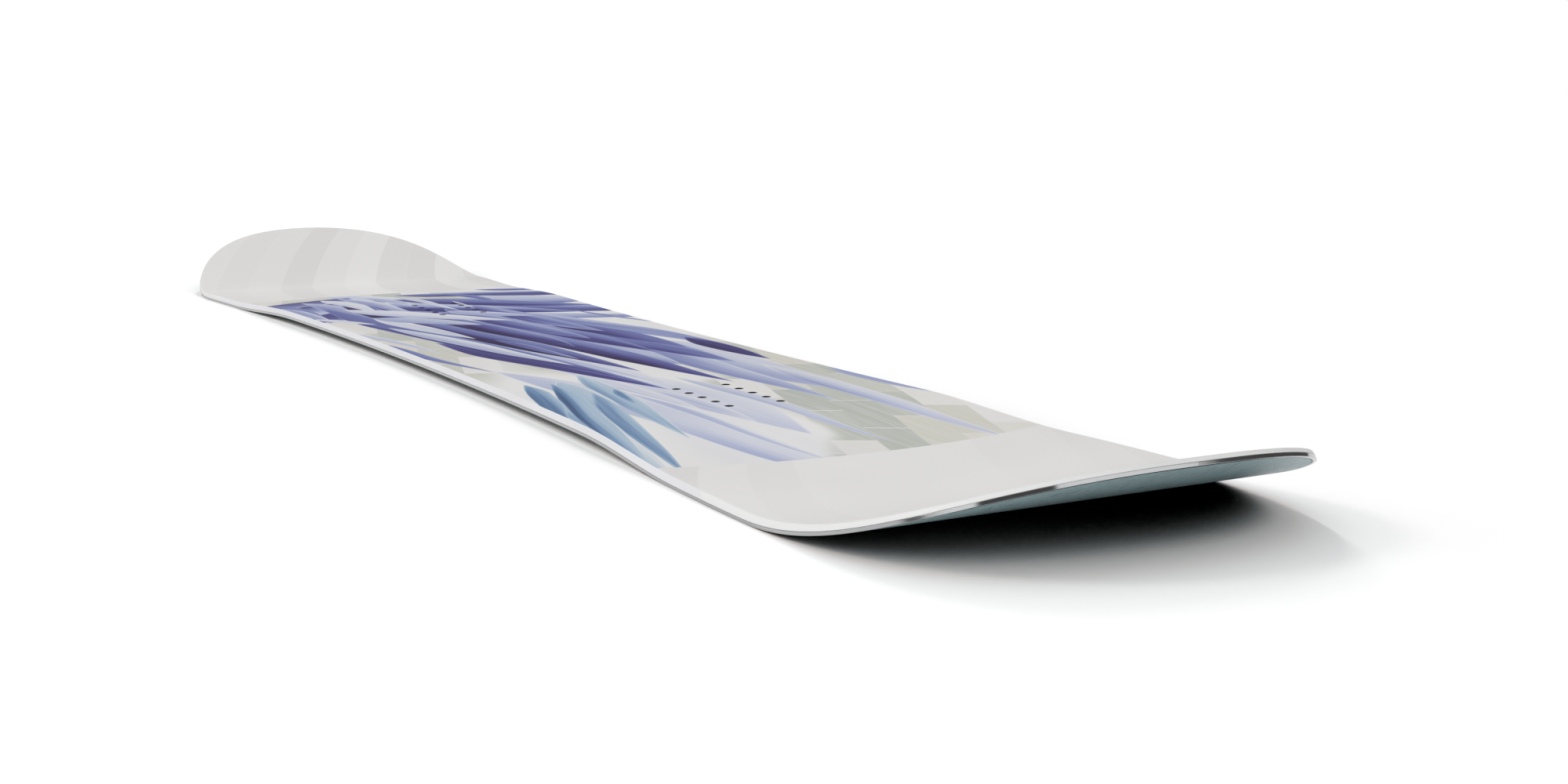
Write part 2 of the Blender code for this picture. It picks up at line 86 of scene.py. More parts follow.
def place_camera():
    """Camera that looks along its heading, and down by its pitch."""
    lens = bpy.data.cameras.new("portrait_camera")
    lens.sensor_fit = "HORIZONTAL"
    lens.sensor_width = SENSOR_WIDTH
    lens.lens = FOCAL_PIXELS * SENSOR_WIDTH / PICTURE[0]
    lens.clip_start = 0.01
    camera = stand("portrait_camera", lens)
    camera.location = CAMERA_PLACE
    camera.rotation_euler = direction(CAMERA_HEADING, -CAMERA_PITCH).to_track_quat("-Z", "Y").to_euler()
    bpy.context.scene.camera = camera
    return camera


camera = place_camera()
print("lens:", round(camera.data.lens, 2), "mm")

# %% [markdown]
# ## The outline and the bend
#
# Seen from above, a board is an arc of a very large circle on each side, the sidecut, closed by a blunt
# curve at either end. Seen from the side, it is a shallow arch, the camber, that ends in two kicks. Both
# could be drawn with curves by hand, but a formula keeps every layer exactly parallel to the next: each
# one is drawn flat, as an inset from the outline and a height, and is bent afterwards.

# %% Plan outline
LENGTH = 1545 * MM
HALF_LENGTH = LENGTH / 2
WAIST_HALF = 128 * MM
WAIST_SETBACK = 45 * MM
SIDECUT_RADIUS = 7050 * MM
NOSE_CURVE = {"length": 200 * MM, "shoulder": 2.0, "bluntness": 2.0}
TAIL_CURVE = {"length": 451 * MM, "shoulder": 6.0, "bluntness": 2.67}


def smooth_step(t):
    """3t^2 - 2t^3: eases from 0 to 1 with level ends."""
    t = np.clip(t, 0.0, 1.0)
    return t * t * (3 - 2 * t)


def tip_fade(reach, length, shoulder, bluntness):
    """Superellipse (1 - u^shoulder)^(1 / bluntness), where u runs from 0 to 1 over the curve to the tip."""
    u = np.clip((reach - HALF_LENGTH) / length + 1, 0.0, 1.0)
    return (1 - u**shoulder) ** (1 / bluntness)


def half_width(x):
    """Waist plus x^2 / 2R, the sidecut's arc, times the fade at either tip."""
    sidecut = WAIST_HALF + (x + WAIST_SETBACK) ** 2 / (2 * SIDECUT_RADIUS)
    return sidecut * tip_fade(x, **NOSE_CURVE) * tip_fade(-x, **TAIL_CURVE)


print("width in the middle:", round(2 * float(half_width(0.0)), 4), "m")

# %% Side profile and thickness
CAMBER = 6.3 * MM
CONTACT_ZONE = 85 * MM
FLAT_HALF = 334 * MM
STANCE_CENTRE = -9 * MM
NOSE_KICK = {"length": 174 * MM, "height": 53 * MM, "early": 2.1}
TAIL_KICK = {"length": 190 * MM, "height": 50 * MM, "early": 1.17}
NOSE_CONTACT = HALF_LENGTH - NOSE_KICK["length"]
TAIL_CONTACT = HALF_LENGTH - TAIL_KICK["length"]
THICKNESS = 7.4 * MM
TIP_THICKNESS = 4.8 * MM
TAPER = 260 * MM
SLOPE_STEP = 0.5 * MM


def kick(reach, length, height, early):
    """Rise of a tip past its contact line: height times (e u^2 - (e - 1) u^3)."""
    u = np.maximum((reach - HALF_LENGTH) / length + 1, 0.0)
    return height * (early * u**2 - (early - 1) * u**3)


def base_height(x):
    """Camber that is level between the feet and eases to the ground, plus the kick of either tip."""
    reach = x - STANCE_CENTRE
    nose_run = NOSE_CONTACT - CONTACT_ZONE - STANCE_CENTRE - FLAT_HALF
    tail_run = TAIL_CONTACT - CONTACT_ZONE + STANCE_CENTRE - FLAT_HALF
    run = np.where(reach > 0, nose_run, tail_run)
    camber = CAMBER * (1 - smooth_step((abs(reach) - FLAT_HALF) / run))
    return camber + kick(x, **NOSE_KICK) + kick(-x, **TAIL_KICK)


def thickness(x):
    """Full thickness, eased down to the tip's over the last stretch."""
    return THICKNESS + (TIP_THICKNESS - THICKNESS) * smooth_step((abs(x) - HALF_LENGTH) / TAPER + 1)


def press(flat):
    """Bend flat points (x, y, height): each goes to the base's curve, then along the curve's normal."""
    x, y, height = np.moveaxis(flat, -1, 0)
    slope = (base_height(x + SLOPE_STEP) - base_height(x - SLOPE_STEP)) / (2 * SLOPE_STEP)
    stretch = np.hypot(1.0, slope)
    return np.stack([x - height * slope / stretch, y, base_height(x) + height / stretch], axis=-1)


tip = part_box("steel_edge_right")[1]
print("height of the tip, frame:", round(tip.z, 4), "formula:", round(float(base_height(HALF_LENGTH)), 4))

# %% [markdown]
# ## Stations
#
# Every surface here is a grid. One of its directions runs along the board, through stations that all the
# pieces share, so their rims meet. They crowd towards the tips, where the outline turns quickly, and they
# are 2.5 mm apart round the screw holes, so that a hole fits in a block of 8 by 8 cells.

# %% Stations
HOLE_PITCH = 20 * MM
ROW_Y = 20 * MM
STANCE = 568 * MM
HOLES_PER_ROW = 5
CELL = 2.5 * MM
BLOCK = round(HOLE_PITCH / CELL)
PACK_HALF = HOLES_PER_ROW * HOLE_PITCH / 2
PACKS = (STANCE_CENTRE - STANCE / 2, STANCE_CENTRE + STANCE / 2)
SPACER_REACH = 54 * MM
COARSE_CELL = 6 * MM
TIP_STATIONS = 72


def stretch_of_stations(start, end, step):
    """Even places from start to just before end."""
    count = max(1, round((end - start) / step))
    return np.linspace(start, end, count, endpoint=False)


def all_stations():
    """X of the stations: contact + length sin(angle) in the kicks, and even steps between the contacts."""
    angle = np.linspace(0.0, math.pi / 2, TIP_STATIONS + 1)
    stops = [(-TAIL_CONTACT, COARSE_CELL), (-TAIL_CONTACT + SPACER_REACH, COARSE_CELL)]
    for pack in PACKS:
        stops += [(pack - PACK_HALF, CELL), (pack + PACK_HALF, COARSE_CELL)]
    stops += [(NOSE_CONTACT - SPACER_REACH, COARSE_CELL), (NOSE_CONTACT, COARSE_CELL)]
    middle = [stretch_of_stations(a, b, step) for (a, step), (b, _) in zip(stops, stops[1:])]
    tail = -(TAIL_CONTACT + TAIL_KICK["length"] * np.sin(angle[:0:-1]))
    return np.concatenate([tail, *middle, NOSE_CONTACT + NOSE_KICK["length"] * np.sin(angle)])


STATIONS = all_stations()
LAST = len(STATIONS) - 1
RING = 2 * LAST
TAIL_JUNCTION = int(np.argmin(abs(STATIONS + TAIL_CONTACT - SPACER_REACH)))
NOSE_JUNCTION = int(np.argmin(abs(STATIONS - NOSE_CONTACT + SPACER_REACH)))
print("stations:", len(STATIONS))

# %% [markdown]
# ## The rim, and any line parallel to it
#
# The outline is a closed ring of points: from the tail tip up the right side to the nose tip, and back down
# the left. A line parallel to it is the ring moved along its own normals. Insets and heights may differ from
# point to point, which is how the walls lean in towards a deck that gets thinner at the tips.

# %% The ring
WIDTHS = half_width(STATIONS)
WIDTHS[[0, -1]] = 0.0
OUTLINE = np.concatenate([
    np.stack([STATIONS, -WIDTHS], axis=1),
    np.stack([STATIONS, WIDTHS], axis=1)[-2:0:-1],
])
RING_X = OUTLINE[:, 0]
ALONG = np.roll(OUTLINE, -1, axis=0) - np.roll(OUTLINE, 1, axis=0)
ALONG /= np.linalg.norm(ALONG, axis=1, keepdims=True)
INWARD = np.stack([-ALONG[:, 1], ALONG[:, 0]], axis=1)
SPANS = np.linalg.norm(np.roll(OUTLINE, -1, axis=0) - OUTLINE, axis=1)
ARC_LENGTH = np.concatenate([[0.0], np.cumsum(SPANS)[:-1]])


def line(inset, height):
    """Flat ring (x, y, height), moved inwards from the outline by its own normals times the inset."""
    plan = OUTLINE + INWARD * (inset * np.ones(RING))[:, None]
    return np.column_stack([plan, height * np.ones(RING)])


def opposite(i):
    """Ring number of the point across the board."""
    return (RING - i) % RING


print("length of the rim:", round(float(SPANS.sum()), 3), "m")

# %% [markdown]
# ## From arrays to a piece
#
# A grid of points becomes a mesh in one step: its cells are worked out as an array too. Rows that end in one
# point, and edges where two grids meet, are merged, which closes the piece. Then its faces are turned out,
# and it is shaded smooth between edges sharper than 35 degrees.

# %% Meshes from grids
MERGE = 0.001 * MM
SHARP = math.radians(35)


def cells(rows, columns, wrap_columns=False, wrap_rows=False):
    """Corners of the cells of a grid numbered row by row: (i, j), (i+1, j), (i+1, j+1), (i, j+1)."""
    i, j = np.meshgrid(np.arange(rows - 1 + wrap_rows), np.arange(columns - 1 + wrap_columns), indexing="ij")
    i_next = (i + 1) % rows
    j_next = (j + 1) % columns
    corners = [i * columns + j, i_next * columns + j, i_next * columns + j_next, i * columns + j_next]
    return np.stack(corners, axis=-1)


def make_piece(name, grids, caps=(), **marks):
    """Mesh of several (points, cells) grids; a mark is a number for each point, kept for the finish."""
    points, faces, start = [], [], 0
    for grid_points, grid_cells in grids:
        points.append(grid_points.reshape(-1, 3))
        faces += (grid_cells.reshape(-1, 4) + start).tolist()
        start += len(points[-1])
    faces += [list(cap) for cap in caps]
    mesh = bpy.data.meshes.new(name)
    mesh.from_pydata(np.concatenate(points).tolist(), [], faces)
    for mark, values in marks.items():
        mesh.attributes.new(mark, "FLOAT", "POINT").data.foreach_set("value", values.ravel())
    bm = bmesh.new()
    bm.from_mesh(mesh)
    bmesh.ops.remove_doubles(bm, verts=bm.verts, dist=MERGE)
    bmesh.ops.recalc_face_normals(bm, faces=bm.faces)
    loose = sum(not edge.is_manifold for edge in bm.edges)
    bm.to_mesh(mesh)
    bm.free()
    mesh.shade_smooth()
    mesh.set_sharp_from_angle(angle=SHARP)
    print(name, "faces:", len(mesh.polygons), "open edges:", loose)
    return stand(name, mesh)


def dress(piece, material, slot, *nodes):
    """Give a piece its finish, and let it stand for its node in the frame."""
    piece.data.materials.clear()
    piece.data.materials.append(material)
    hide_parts(*nodes)
    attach(piece, "root")


# %% [markdown]
# ## Eased corners
#
# No real corner is perfectly sharp, and the thin light line along an eased one is what tells the eye that
# plastic and steel are solid. A Bevel modifier could do it, but a section that is carried round the rim can
# have its corners eased once, before it is carried: each corner becomes a small curve, with a holding line on
# either side that keeps the flats flat.

# %% Eased sections
HOLD = 0.05 * MM
EASE_STEPS = 4


def ease(corners, radii, closed=True):
    """Each corner C becomes the curve (1-t)^2 A + 2t(1-t) C + t^2 B, with A and B a radius to either side."""
    count = len(corners)
    eased = []
    for k, radius in enumerate(radii):
        corner = corners[k]
        if not radius or (not closed and k in (0, count - 1)):
            eased.append(corner)
            continue
        ways = []
        for other in (corners[k - 1], corners[(k + 1) % count]):
            way = other - corner
            ways.append(way / np.linalg.norm(way, axis=-1, keepdims=True))
        eased.append(corner + ways[0] * (radius + HOLD))
        for t in np.linspace(0.0, 1.0, EASE_STEPS + 1):
            eased.append(corner + ways[0] * radius * (1 - t) ** 2 + ways[1] * radius * t**2)
        eased.append(corner + ways[1] * (radius + HOLD))
    return np.array(eased)


def section(*corners):
    """Section corners, each an (inset, height) pair, spread out over the whole ring."""
    return np.array([np.stack([a * np.ones(RING), b * np.ones(RING)], axis=-1) for a, b in corners])


def carry(profile):
    """Flat lines round the board, one for each corner of a section."""
    return np.array([line(corner[:, 0], corner[:, 1]) for corner in profile])


# %% [markdown]
# ## Layers
#
# From the snow up: a polyethylene base between two steel edges, the lower laminate, the core, the upper
# laminate and the topsheet. Their heights are sums of the layers' thicknesses, so they are written that way.

# %% Layer heights
BOND = 0.25 * MM
SEAM = 0.08 * MM
BASE_SEAM = 0.50 * MM
BASE_THICKNESS = 1.25 * MM
TANG_THICKNESS = 0.6 * MM
LAMINATE = 0.4 * MM
TOPSHEET = 0.4 * MM
EDGE_WIDTH = 2.0 * MM
TANG_WIDTH = 1.5 * MM
TOOTH_LENGTH = 4.0 * MM
TOOTH_PITCH = 40 * MM
TOOTH_SHARE = 0.62
SIDE_BEVEL = 1.0 * MM
WALL_LIP = 2.5 * MM
WALL_OVERLAP = 3.0 * MM
SPACER_WIDTH = 24 * MM
EDGE_HEIGHT = BASE_THICKNESS + BOND + TANG_THICKNESS
TANG_BOTTOM = BASE_THICKNESS + BOND
CORE_BOTTOM = TANG_BOTTOM + LAMINATE + BOND
CORE_RAISED = EDGE_HEIGHT + LAMINATE + 2 * BOND
CORE_DEPTH = TOPSHEET + LAMINATE + 2 * BOND
TOOTH_ROOT = EDGE_WIDTH + TANG_WIDTH
CORE_INSET = TOOTH_ROOT + TOOTH_LENGTH + WALL_OVERLAP
DECK = thickness(RING_X)


def lean(height):
    """Inset of the side face: none at the steel, all of the bevel at the deck."""
    return SIDE_BEVEL * (height - EDGE_HEIGHT) / (DECK - EDGE_HEIGHT)


print("core, under the middle of the deck:", round(1000 * (THICKNESS - CORE_DEPTH - CORE_BOTTOM), 2), "mm")

# %% [markdown]
# ## Sheets
#
# The base, the laminate and the topsheet are sheets. Straight lines across the board fill one: each runs from
# a point of the rim to the point opposite. Lengthwise, the lines keep to fixed distances round the screw
# holes and draw together towards the tips.

# %% Lines across a sheet
HOLE_FIELD = 30 * MM
MARGIN_LINES = 6
FIELD_FADE = 150 * MM


def lanes(x, half):
    """Y of each lengthwise line at each station: fixed round the holes, and drawing together elsewhere."""
    near = 1 - smooth_step((abs(x - STANCE_CENTRE) - FLAT_HALF) / FIELD_FADE)
    shrink = near + (1 - near) * half / WAIST_HALF
    inner = np.arange(-HOLE_FIELD, HOLE_FIELD + CELL / 2, CELL)[None, :] * shrink[:, None]
    share = np.arange(1, MARGIN_LINES + 1) / MARGIN_LINES
    rest = (half - HOLE_FIELD * shrink)[:, None] * share
    left = inner[:, -1:] + rest
    return np.concatenate([-left[:, ::-1], inner, left], axis=1)


def face_of_sheet(rim):
    """Flat grid that fills the rim: rows are stations, columns are lanes."""
    right = rim[:LAST + 1]
    y = lanes(right[:, 0], -right[:, 1])
    x = np.broadcast_to(right[:, :1], y.shape)
    height = np.broadcast_to(right[:, 2:], y.shape)
    return np.stack([x, y, height], axis=-1)


# %% [markdown]
# ## Drilled holes
#
# A hole in a grid is made by leaving out a square block of cells and filling it with rings that go from the
# square to the circle. A Boolean would give the same hole, but these rings keep their faces even, and the
# rim of the hole can have its own small chamfer.

# %% Holes
HOLE_RADIUS = 3.0 * MM
CHAMFER = 0.12 * MM
WAY_TO_HOLE = (0.0, 0.35, 0.7, 0.97, 1.0)


def hole_blocks(columns):
    """First row and first column of the block of cells round each hole."""
    first_lane = (columns - 1) // 2 - round(HOLE_FIELD / CELL)
    blocks = []
    for pack in PACKS:
        first_row = int(np.argmin(abs(STATIONS - pack + PACK_HALF)))
        for k in range(HOLES_PER_ROW):
            for row in (0, 2):
                blocks.append((first_row + k * BLOCK, first_lane + row * BLOCK))
    return blocks


def block_edge(grid, i, j):
    """Points round a block, in order."""
    n = BLOCK
    return np.concatenate([
        grid[i:i + n, j], grid[i + n, j:j + n], grid[i + n:i:-1, j + n], grid[i, j + n:j:-1],
    ])


def hole_rings(upper, lower, i, j):
    """Rings from the block's edge above, down the hole, to its edge below; bored is 1 in the hole, where the
    finishes paint shade.
    """
    top = block_edge(upper, i, j)
    bottom = block_edge(lower, i, j)
    centre = (upper[i, j] + upper[i + BLOCK, j + BLOCK]) / 2
    way = top[:, :2] - centre[:2]
    way /= np.linalg.norm(way, axis=1, keepdims=True)

    def ring(radius, height):
        return np.column_stack([centre[:2] + way * radius, np.full(len(way), height)])

    mouth = ring(HOLE_RADIUS + CHAMFER, top[0, 2])
    foot = ring(HOLE_RADIUS, bottom[0, 2])
    rings = np.array(
        [top + (mouth - top) * s for s in WAY_TO_HOLE]
        + [ring(HOLE_RADIUS, top[0, 2] - CHAMFER)]
        + [foot + (bottom - foot) * s for s in WAY_TO_HOLE]
    )
    bored = np.zeros(rings.shape[:2])
    bored[len(WAY_TO_HOLE) - 1:len(WAY_TO_HOLE) + 2] = 1.0
    return rings, bored


print("screw holes:", len(PACKS) * 2 * HOLES_PER_ROW)

# %% [markdown]
# ## The sheets that show
#
# A sheet is then three grids: a rim that is carried round the board, an upper face and a lower face. The base
# shows under the raised tail, the upper laminate only in the screw holes, and the topsheet is the whole deck.

# %% Sheets
BASE_EASE = 0.1 * MM
DECK_EASE = 0.28 * MM
# How far in from its rim the flat face of each sheet begins.
BASE_RIM = 0.4 * MM
LAMINATE_RIM = 1.0 * MM
DECK_RIM = 2.0 * MM


def make_sheet(name, corners, radii, drilled=False):
    """Closed sheet: the rim's eased section, an upper and a lower face, and any holes between them."""
    rim = carry(ease(section(*corners), radii, closed=False))
    lower = face_of_sheet(rim[0])
    upper = face_of_sheet(rim[-1])
    rows, columns = upper.shape[:2]
    kept = np.ones((rows - 1, columns - 1), bool)
    grids = [(press(rim), cells(len(rim), RING, wrap_columns=True))]
    marks = [np.zeros(rim.shape[0] * RING)]
    if drilled:
        for i, j in hole_blocks(columns):
            kept[i:i + BLOCK, j:j + BLOCK] = False
            rings, bored = hole_rings(upper, lower, i, j)
            grids.append((press(rings), cells(*bored.shape, wrap_columns=True)))
            marks.append(bored.ravel())
    grid_cells = cells(rows, columns)[kept]
    grids += [(press(lower), grid_cells), (press(upper), grid_cells)]
    marks.append(np.zeros(2 * rows * columns))
    return make_piece(name, grids, bored=np.concatenate(marks))


def rim_of_sheet(low, high, low_inset, high_inset, rim):
    """Section of a sheet's rim: in along its lower face, up its side, and in along its upper face."""
    return [(low_inset + rim, low), (low_inset, low), (high_inset, high), (high_inset + rim, high)]


base_inset = EDGE_WIDTH + BASE_SEAM
base_rim = rim_of_sheet(0.0, BASE_THICKNESS, base_inset, base_inset, BASE_RIM)
running_base = make_sheet("running_base", base_rim, [0, BASE_EASE, 0, 0])

head = DECK - TOPSHEET - BOND
laminate_inset = lean(head) + WALL_LIP + BOND
laminate_rim = rim_of_sheet(head - LAMINATE, head, laminate_inset, laminate_inset, LAMINATE_RIM)
upper_laminate = make_sheet("upper_laminate", laminate_rim, [0, 0, 0, 0], drilled=True)

under = DECK - TOPSHEET
deck_rim = rim_of_sheet(under, DECK, lean(under), lean(DECK), DECK_RIM)
printed_topsheet = make_sheet("printed_topsheet", deck_rim, [0, 0, DECK_EASE, 0], drilled=True)

# %% [markdown]
# ## Walls and spacers
#
# Along each side a white plastic wall closes the sandwich, and at either end a crescent of the same plastic
# fills the tip, where there is no core. Both are one section carried along a part of the rim, and where wall
# and spacer meet, the joint shows as a hair line.

# %% Walls and tip spacers
JOINT = 0.16 * MM
WALL_EASE = 0.12 * MM


def close_strip(name, points, run):
    """Piece from sections in a row: both ends are capped, and the length along the rim is kept as run."""
    count, sides = points.shape[:2]
    caps = [range(sides), range((count - 1) * sides, count * sides)]
    strip_cells = cells(count, sides, wrap_columns=True)
    return make_piece(name, [(points, strip_cells)], caps, run=np.repeat(run, sides))


def make_strip(name, profile, stations):
    """Closed strip: a section carried along some of the ring's points, a little short at both ends."""
    points = press(carry(profile)[:, stations]).transpose(1, 0, 2).copy()
    for end, beside in ((0, 1), (-1, -2)):
        way = points[beside] - points[end]
        points[end] += way / np.linalg.norm(way, axis=1, keepdims=True) * JOINT / 2
    return close_strip(name, points, ARC_LENGTH[stations])


def wall_profile(inner):
    """Section of a wall or spacer: a lip under the topsheet, a lip over the steel, rebates between."""
    foot = EDGE_HEIGHT + SEAM
    head = DECK - TOPSHEET
    shelf = DECK - CORE_DEPTH
    step = CORE_INSET - BOND
    lip = lean(head) + WALL_LIP
    return section(
        (lean(foot), foot), (WALL_LIP, foot), (WALL_LIP, CORE_RAISED), (step, CORE_RAISED),
        (step, CORE_BOTTOM), (inner - BOND, CORE_BOTTOM), (inner - BOND, shelf), (step, shelf),
        (lip, shelf), (lip, head), (lean(head), head),
    )


def make_walls():
    """Two walls between the junctions and two spacers round the tips."""
    to_nose = (RING_X - NOSE_CONTACT + SPACER_REACH) / (SPACER_REACH + NOSE_KICK["length"])
    to_tail = (-RING_X - TAIL_CONTACT + SPACER_REACH) / (SPACER_REACH + TAIL_KICK["length"])
    widening = smooth_step(np.maximum(to_nose, to_tail))
    tips = wall_profile(CORE_INSET + (SPACER_WIDTH - CORE_INSET) * widening)
    spacer = ease(tips, [WALL_EASE] + [0] * 10)
    wall = ease(np.concatenate([tips[:4], tips[7:]]), [WALL_EASE] + [0] * 7)
    nose_left = opposite(NOSE_JUNCTION)
    tail_left = opposite(TAIL_JUNCTION)
    around_tail = np.arange(tail_left, RING + TAIL_JUNCTION + 1) % RING
    return (
        make_strip("wall_right", wall, np.arange(TAIL_JUNCTION, NOSE_JUNCTION + 1)),
        make_strip("wall_left", wall, np.arange(nose_left, tail_left + 1)),
        make_strip("nose_tip_fill", spacer, np.arange(NOSE_JUNCTION, nose_left + 1)),
        make_strip("tail_tip_fill", spacer, around_tail),
    )


wall_right, wall_left, nose_fill, tail_fill = make_walls()

# %% [markdown]
# ## Steel edges
#
# A board's edge is rolled from steel: a small square bar that runs on the snow, and a thin tang beside it,
# punched into teeth that anchor it between base and laminate. The bar bends round both tips, and the two
# halves meet there. The teeth are made by letting the tang's width step in and out along the rim.

# %% Steel edges
EDGE_EASE = 0.15 * MM


def make_edge(name, side, stations):
    """Edge of one side: bar and toothed tang carried from the tail tip to the nose tip."""
    place = ARC_LENGTH if side < 0 else ARC_LENGTH[opposite(np.arange(RING))]
    tooth = np.where((place / TOOTH_PITCH) % 1.0 < TOOTH_SHARE, TOOTH_LENGTH, 0.0)
    corners = section(
        (0.0, 0.0), (EDGE_WIDTH, 0.0), (EDGE_WIDTH, TANG_BOTTOM), (TOOTH_ROOT + tooth, TANG_BOTTOM),
        (TOOTH_ROOT + tooth, EDGE_HEIGHT), (0.0, EDGE_HEIGHT),
    )
    lines = carry(ease(corners, [EDGE_EASE, EDGE_EASE / 2, 0, 0, 0, EDGE_EASE]))[:, stations]
    lines[..., 1] = side * np.maximum(side * lines[..., 1], JOINT / 2)
    return close_strip(name, press(lines).transpose(1, 0, 2), place[stations])


right_side = np.arange(LAST + 1)
edge_right = make_edge("running_edge_right", -1, right_side)
edge_left = make_edge("running_edge_left", 1, opposite(right_side))

# %% [markdown]
# ## Threaded inserts
#
# Under each screw hole sits a turned steel insert with an M6 thread. Only the top of its bore shows. A real
# screw thread is a helix, and on a grid of angle and height a helix is simply a ridge whose height depends
# on height / pitch - angle / full turn.

# %% Inserts
THREAD_MINOR = 2.5 * MM
THREAD_DEPTH = 0.45 * MM
THREAD_PITCH = 1.0 * MM
FLANGE_RADIUS = 9.0 * MM
FLANGE_HEIGHT = 1.0 * MM
BARREL_RADIUS = 4.5 * MM
INSERT_SIDES = 48
ROWS_PER_TURN = 8
LEAD_IN = 0.5 * MM
INSERT_EASE = 0.2 * MM


def insert_surface():
    """Grid of an insert: up the threaded bore, out over its top, down the barrel, and round the flange."""
    foot = CAMBER + CORE_BOTTOM
    head = CAMBER + THICKNESS - CORE_DEPTH
    angle = np.arange(INSERT_SIDES) * math.tau / INSERT_SIDES
    rows = round((head - foot) / THREAD_PITCH * ROWS_PER_TURN)
    z = np.linspace(foot, head, rows + 1)
    turn = z[:, None] / THREAD_PITCH - angle[None, :] / math.tau
    ridge = 1 - abs(2 * (turn % 1.0) - 1)
    to_end = np.minimum(z - foot, head - z) / LEAD_IN
    groove = np.maximum(ridge, 1 - np.clip(to_end, 0.0, 1.0)[:, None])
    bore = THREAD_MINOR + THREAD_DEPTH * groove
    rest = foot + FLANGE_HEIGHT
    outside = np.array([
        (BARREL_RADIUS - INSERT_EASE, head), (BARREL_RADIUS, head - INSERT_EASE), (BARREL_RADIUS, rest),
        (FLANGE_RADIUS - INSERT_EASE, rest), (FLANGE_RADIUS, rest - INSERT_EASE),
        (FLANGE_RADIUS, foot + INSERT_EASE), (FLANGE_RADIUS - INSERT_EASE, foot),
    ])
    radius = np.concatenate([bore, np.repeat(outside[:, :1], INSERT_SIDES, axis=1)])
    height = np.concatenate([z, outside[:, 1]])
    return np.stack([
        radius * np.cos(angle), radius * np.sin(angle), np.broadcast_to(height[:, None], radius.shape),
    ], axis=-1)


def make_inserts():
    """One insert under every screw hole, named as its node is."""
    surface = insert_surface()
    surface_cells = cells(*surface.shape[:2], wrap_columns=True, wrap_rows=True)
    made = {}
    for end, x in zip(("tail", "nose"), PACKS):
        for side, y in (("left", ROW_Y), ("right", -ROW_Y)):
            for number in range(1, HOLES_PER_ROW + 1):
                shift = (number - (HOLES_PER_ROW + 1) / 2) * HOLE_PITCH
                place = np.array([x + shift, y, 0.0])
                name = f"{end}_{side}_{number}"
                made[f"insert_{name}"] = make_piece(f"threaded_{name}", [(surface + place, surface_cells)])
    return made


inserts = make_inserts()

# %% [markdown]
# ## Shader helpers
#
# A finish is a small program of nodes. A few helpers keep such programs readable: one adds a node and feeds
# its sockets, and others do a sum, ease a number from one value to another, mix two colours, or lay a noise
# in the object's own space. A print is then written much like the formulas above.

# %% Node helpers
class Nodes:
    """Short ways to add nodes to a tree."""

    def __init__(self, tree, coordinates):
        self.tree = tree
        self.place = tree.nodes.new("ShaderNodeTexCoord").outputs[coordinates]
        self.x, self.y, self.z = self.add("ShaderNodeSeparateXYZ", Vector=self.place).outputs

    def add(self, kind, settings=None, **sockets):
        """New node, its settings, and its sockets: each takes a value or another node's output."""
        node = self.tree.nodes.new(kind)
        for key, value in (settings or {}).items():
            setattr(node, key, value)
        for key, value in sockets.items():
            self.feed(node.inputs[key.replace("_", " ")], value)
        return node

    def feed(self, socket, value):
        """Link a socket, or set it."""
        if isinstance(value, bpy.types.NodeSocket):
            self.tree.links.new(value, socket)
        else:
            socket.default_value = value

    def sum(self, operation, *values):
        """Math node."""
        node = self.add("ShaderNodeMath", {"operation": operation})
        for socket, value in zip(node.inputs, values):
            self.feed(socket, value)
        return node.outputs[0]

    def times(self, first, *others):
        """Product."""
        for other in others:
            first = self.sum("MULTIPLY", first, other)
        return first

    def less(self, first, second):
        """Difference."""
        return self.sum("SUBTRACT", first, second)

    def weigh(self, *terms, shift=0.0):
        """Sum of (output, factor) products, plus a shift."""
        total = shift
        for output, factor in terms:
            total = self.sum("MULTIPLY_ADD", output, factor, total)
        return total

    def ramp(self, value, low, high, start=0.0, end=1.0):
        """Ease a value from start to end while it goes from low to high."""
        node = self.add("ShaderNodeMapRange", {"interpolation_type": "SMOOTHSTEP"})
        for socket, number in zip(node.inputs, (value, low, high, start, end)):
            self.feed(socket, number)
        return node.outputs[0]

    def mix(self, share, first, second):
        """Colour between two others."""
        node = self.add("ShaderNodeMix", {"data_type": "RGBA"})
        self.feed(node.inputs[0], share)
        for socket, color in zip(node.inputs[6:8], (first, second)):
            self.feed(socket, color if isinstance(color, bpy.types.NodeSocket) else (*color, 1.0))
        return node.outputs[2]

    def blend(self, share, first, second):
        """Number between two others."""
        node = self.add("ShaderNodeMix", {"data_type": "FLOAT"})
        for k, value in ((0, share), (2, first), (3, second)):
            self.feed(node.inputs[k], value)
        return node.outputs[0]

    def band(self, value, start, end, soft):
        """One between start and end, and zero outside them."""
        rise = self.ramp(value, start - soft, start + soft)
        return self.times(rise, self.ramp(value, end - soft, end + soft, 1.0, 0.0))

    def noise(self, scale, stretch=(1.0, 1.0, 1.0), detail=2.0, shift=(0.0, 0.0, 0.0), vector=None):
        """Noise in object space, stretched along its axes."""
        mapping = self.add("ShaderNodeMapping", Vector=vector or self.place, Location=shift, Scale=stretch)
        node = self.add("ShaderNodeTexNoise", Vector=mapping.outputs[0], Scale=scale, Detail=detail)
        return node.outputs[0]


def fresh_nodes(owner, coordinates):
    """Empty node tree of a material or a world."""
    owner.use_nodes = True
    owner.node_tree.nodes.clear()
    return Nodes(owner.node_tree, coordinates)


# %% A finish
NOISE_SPAN = (0.3, 0.7)


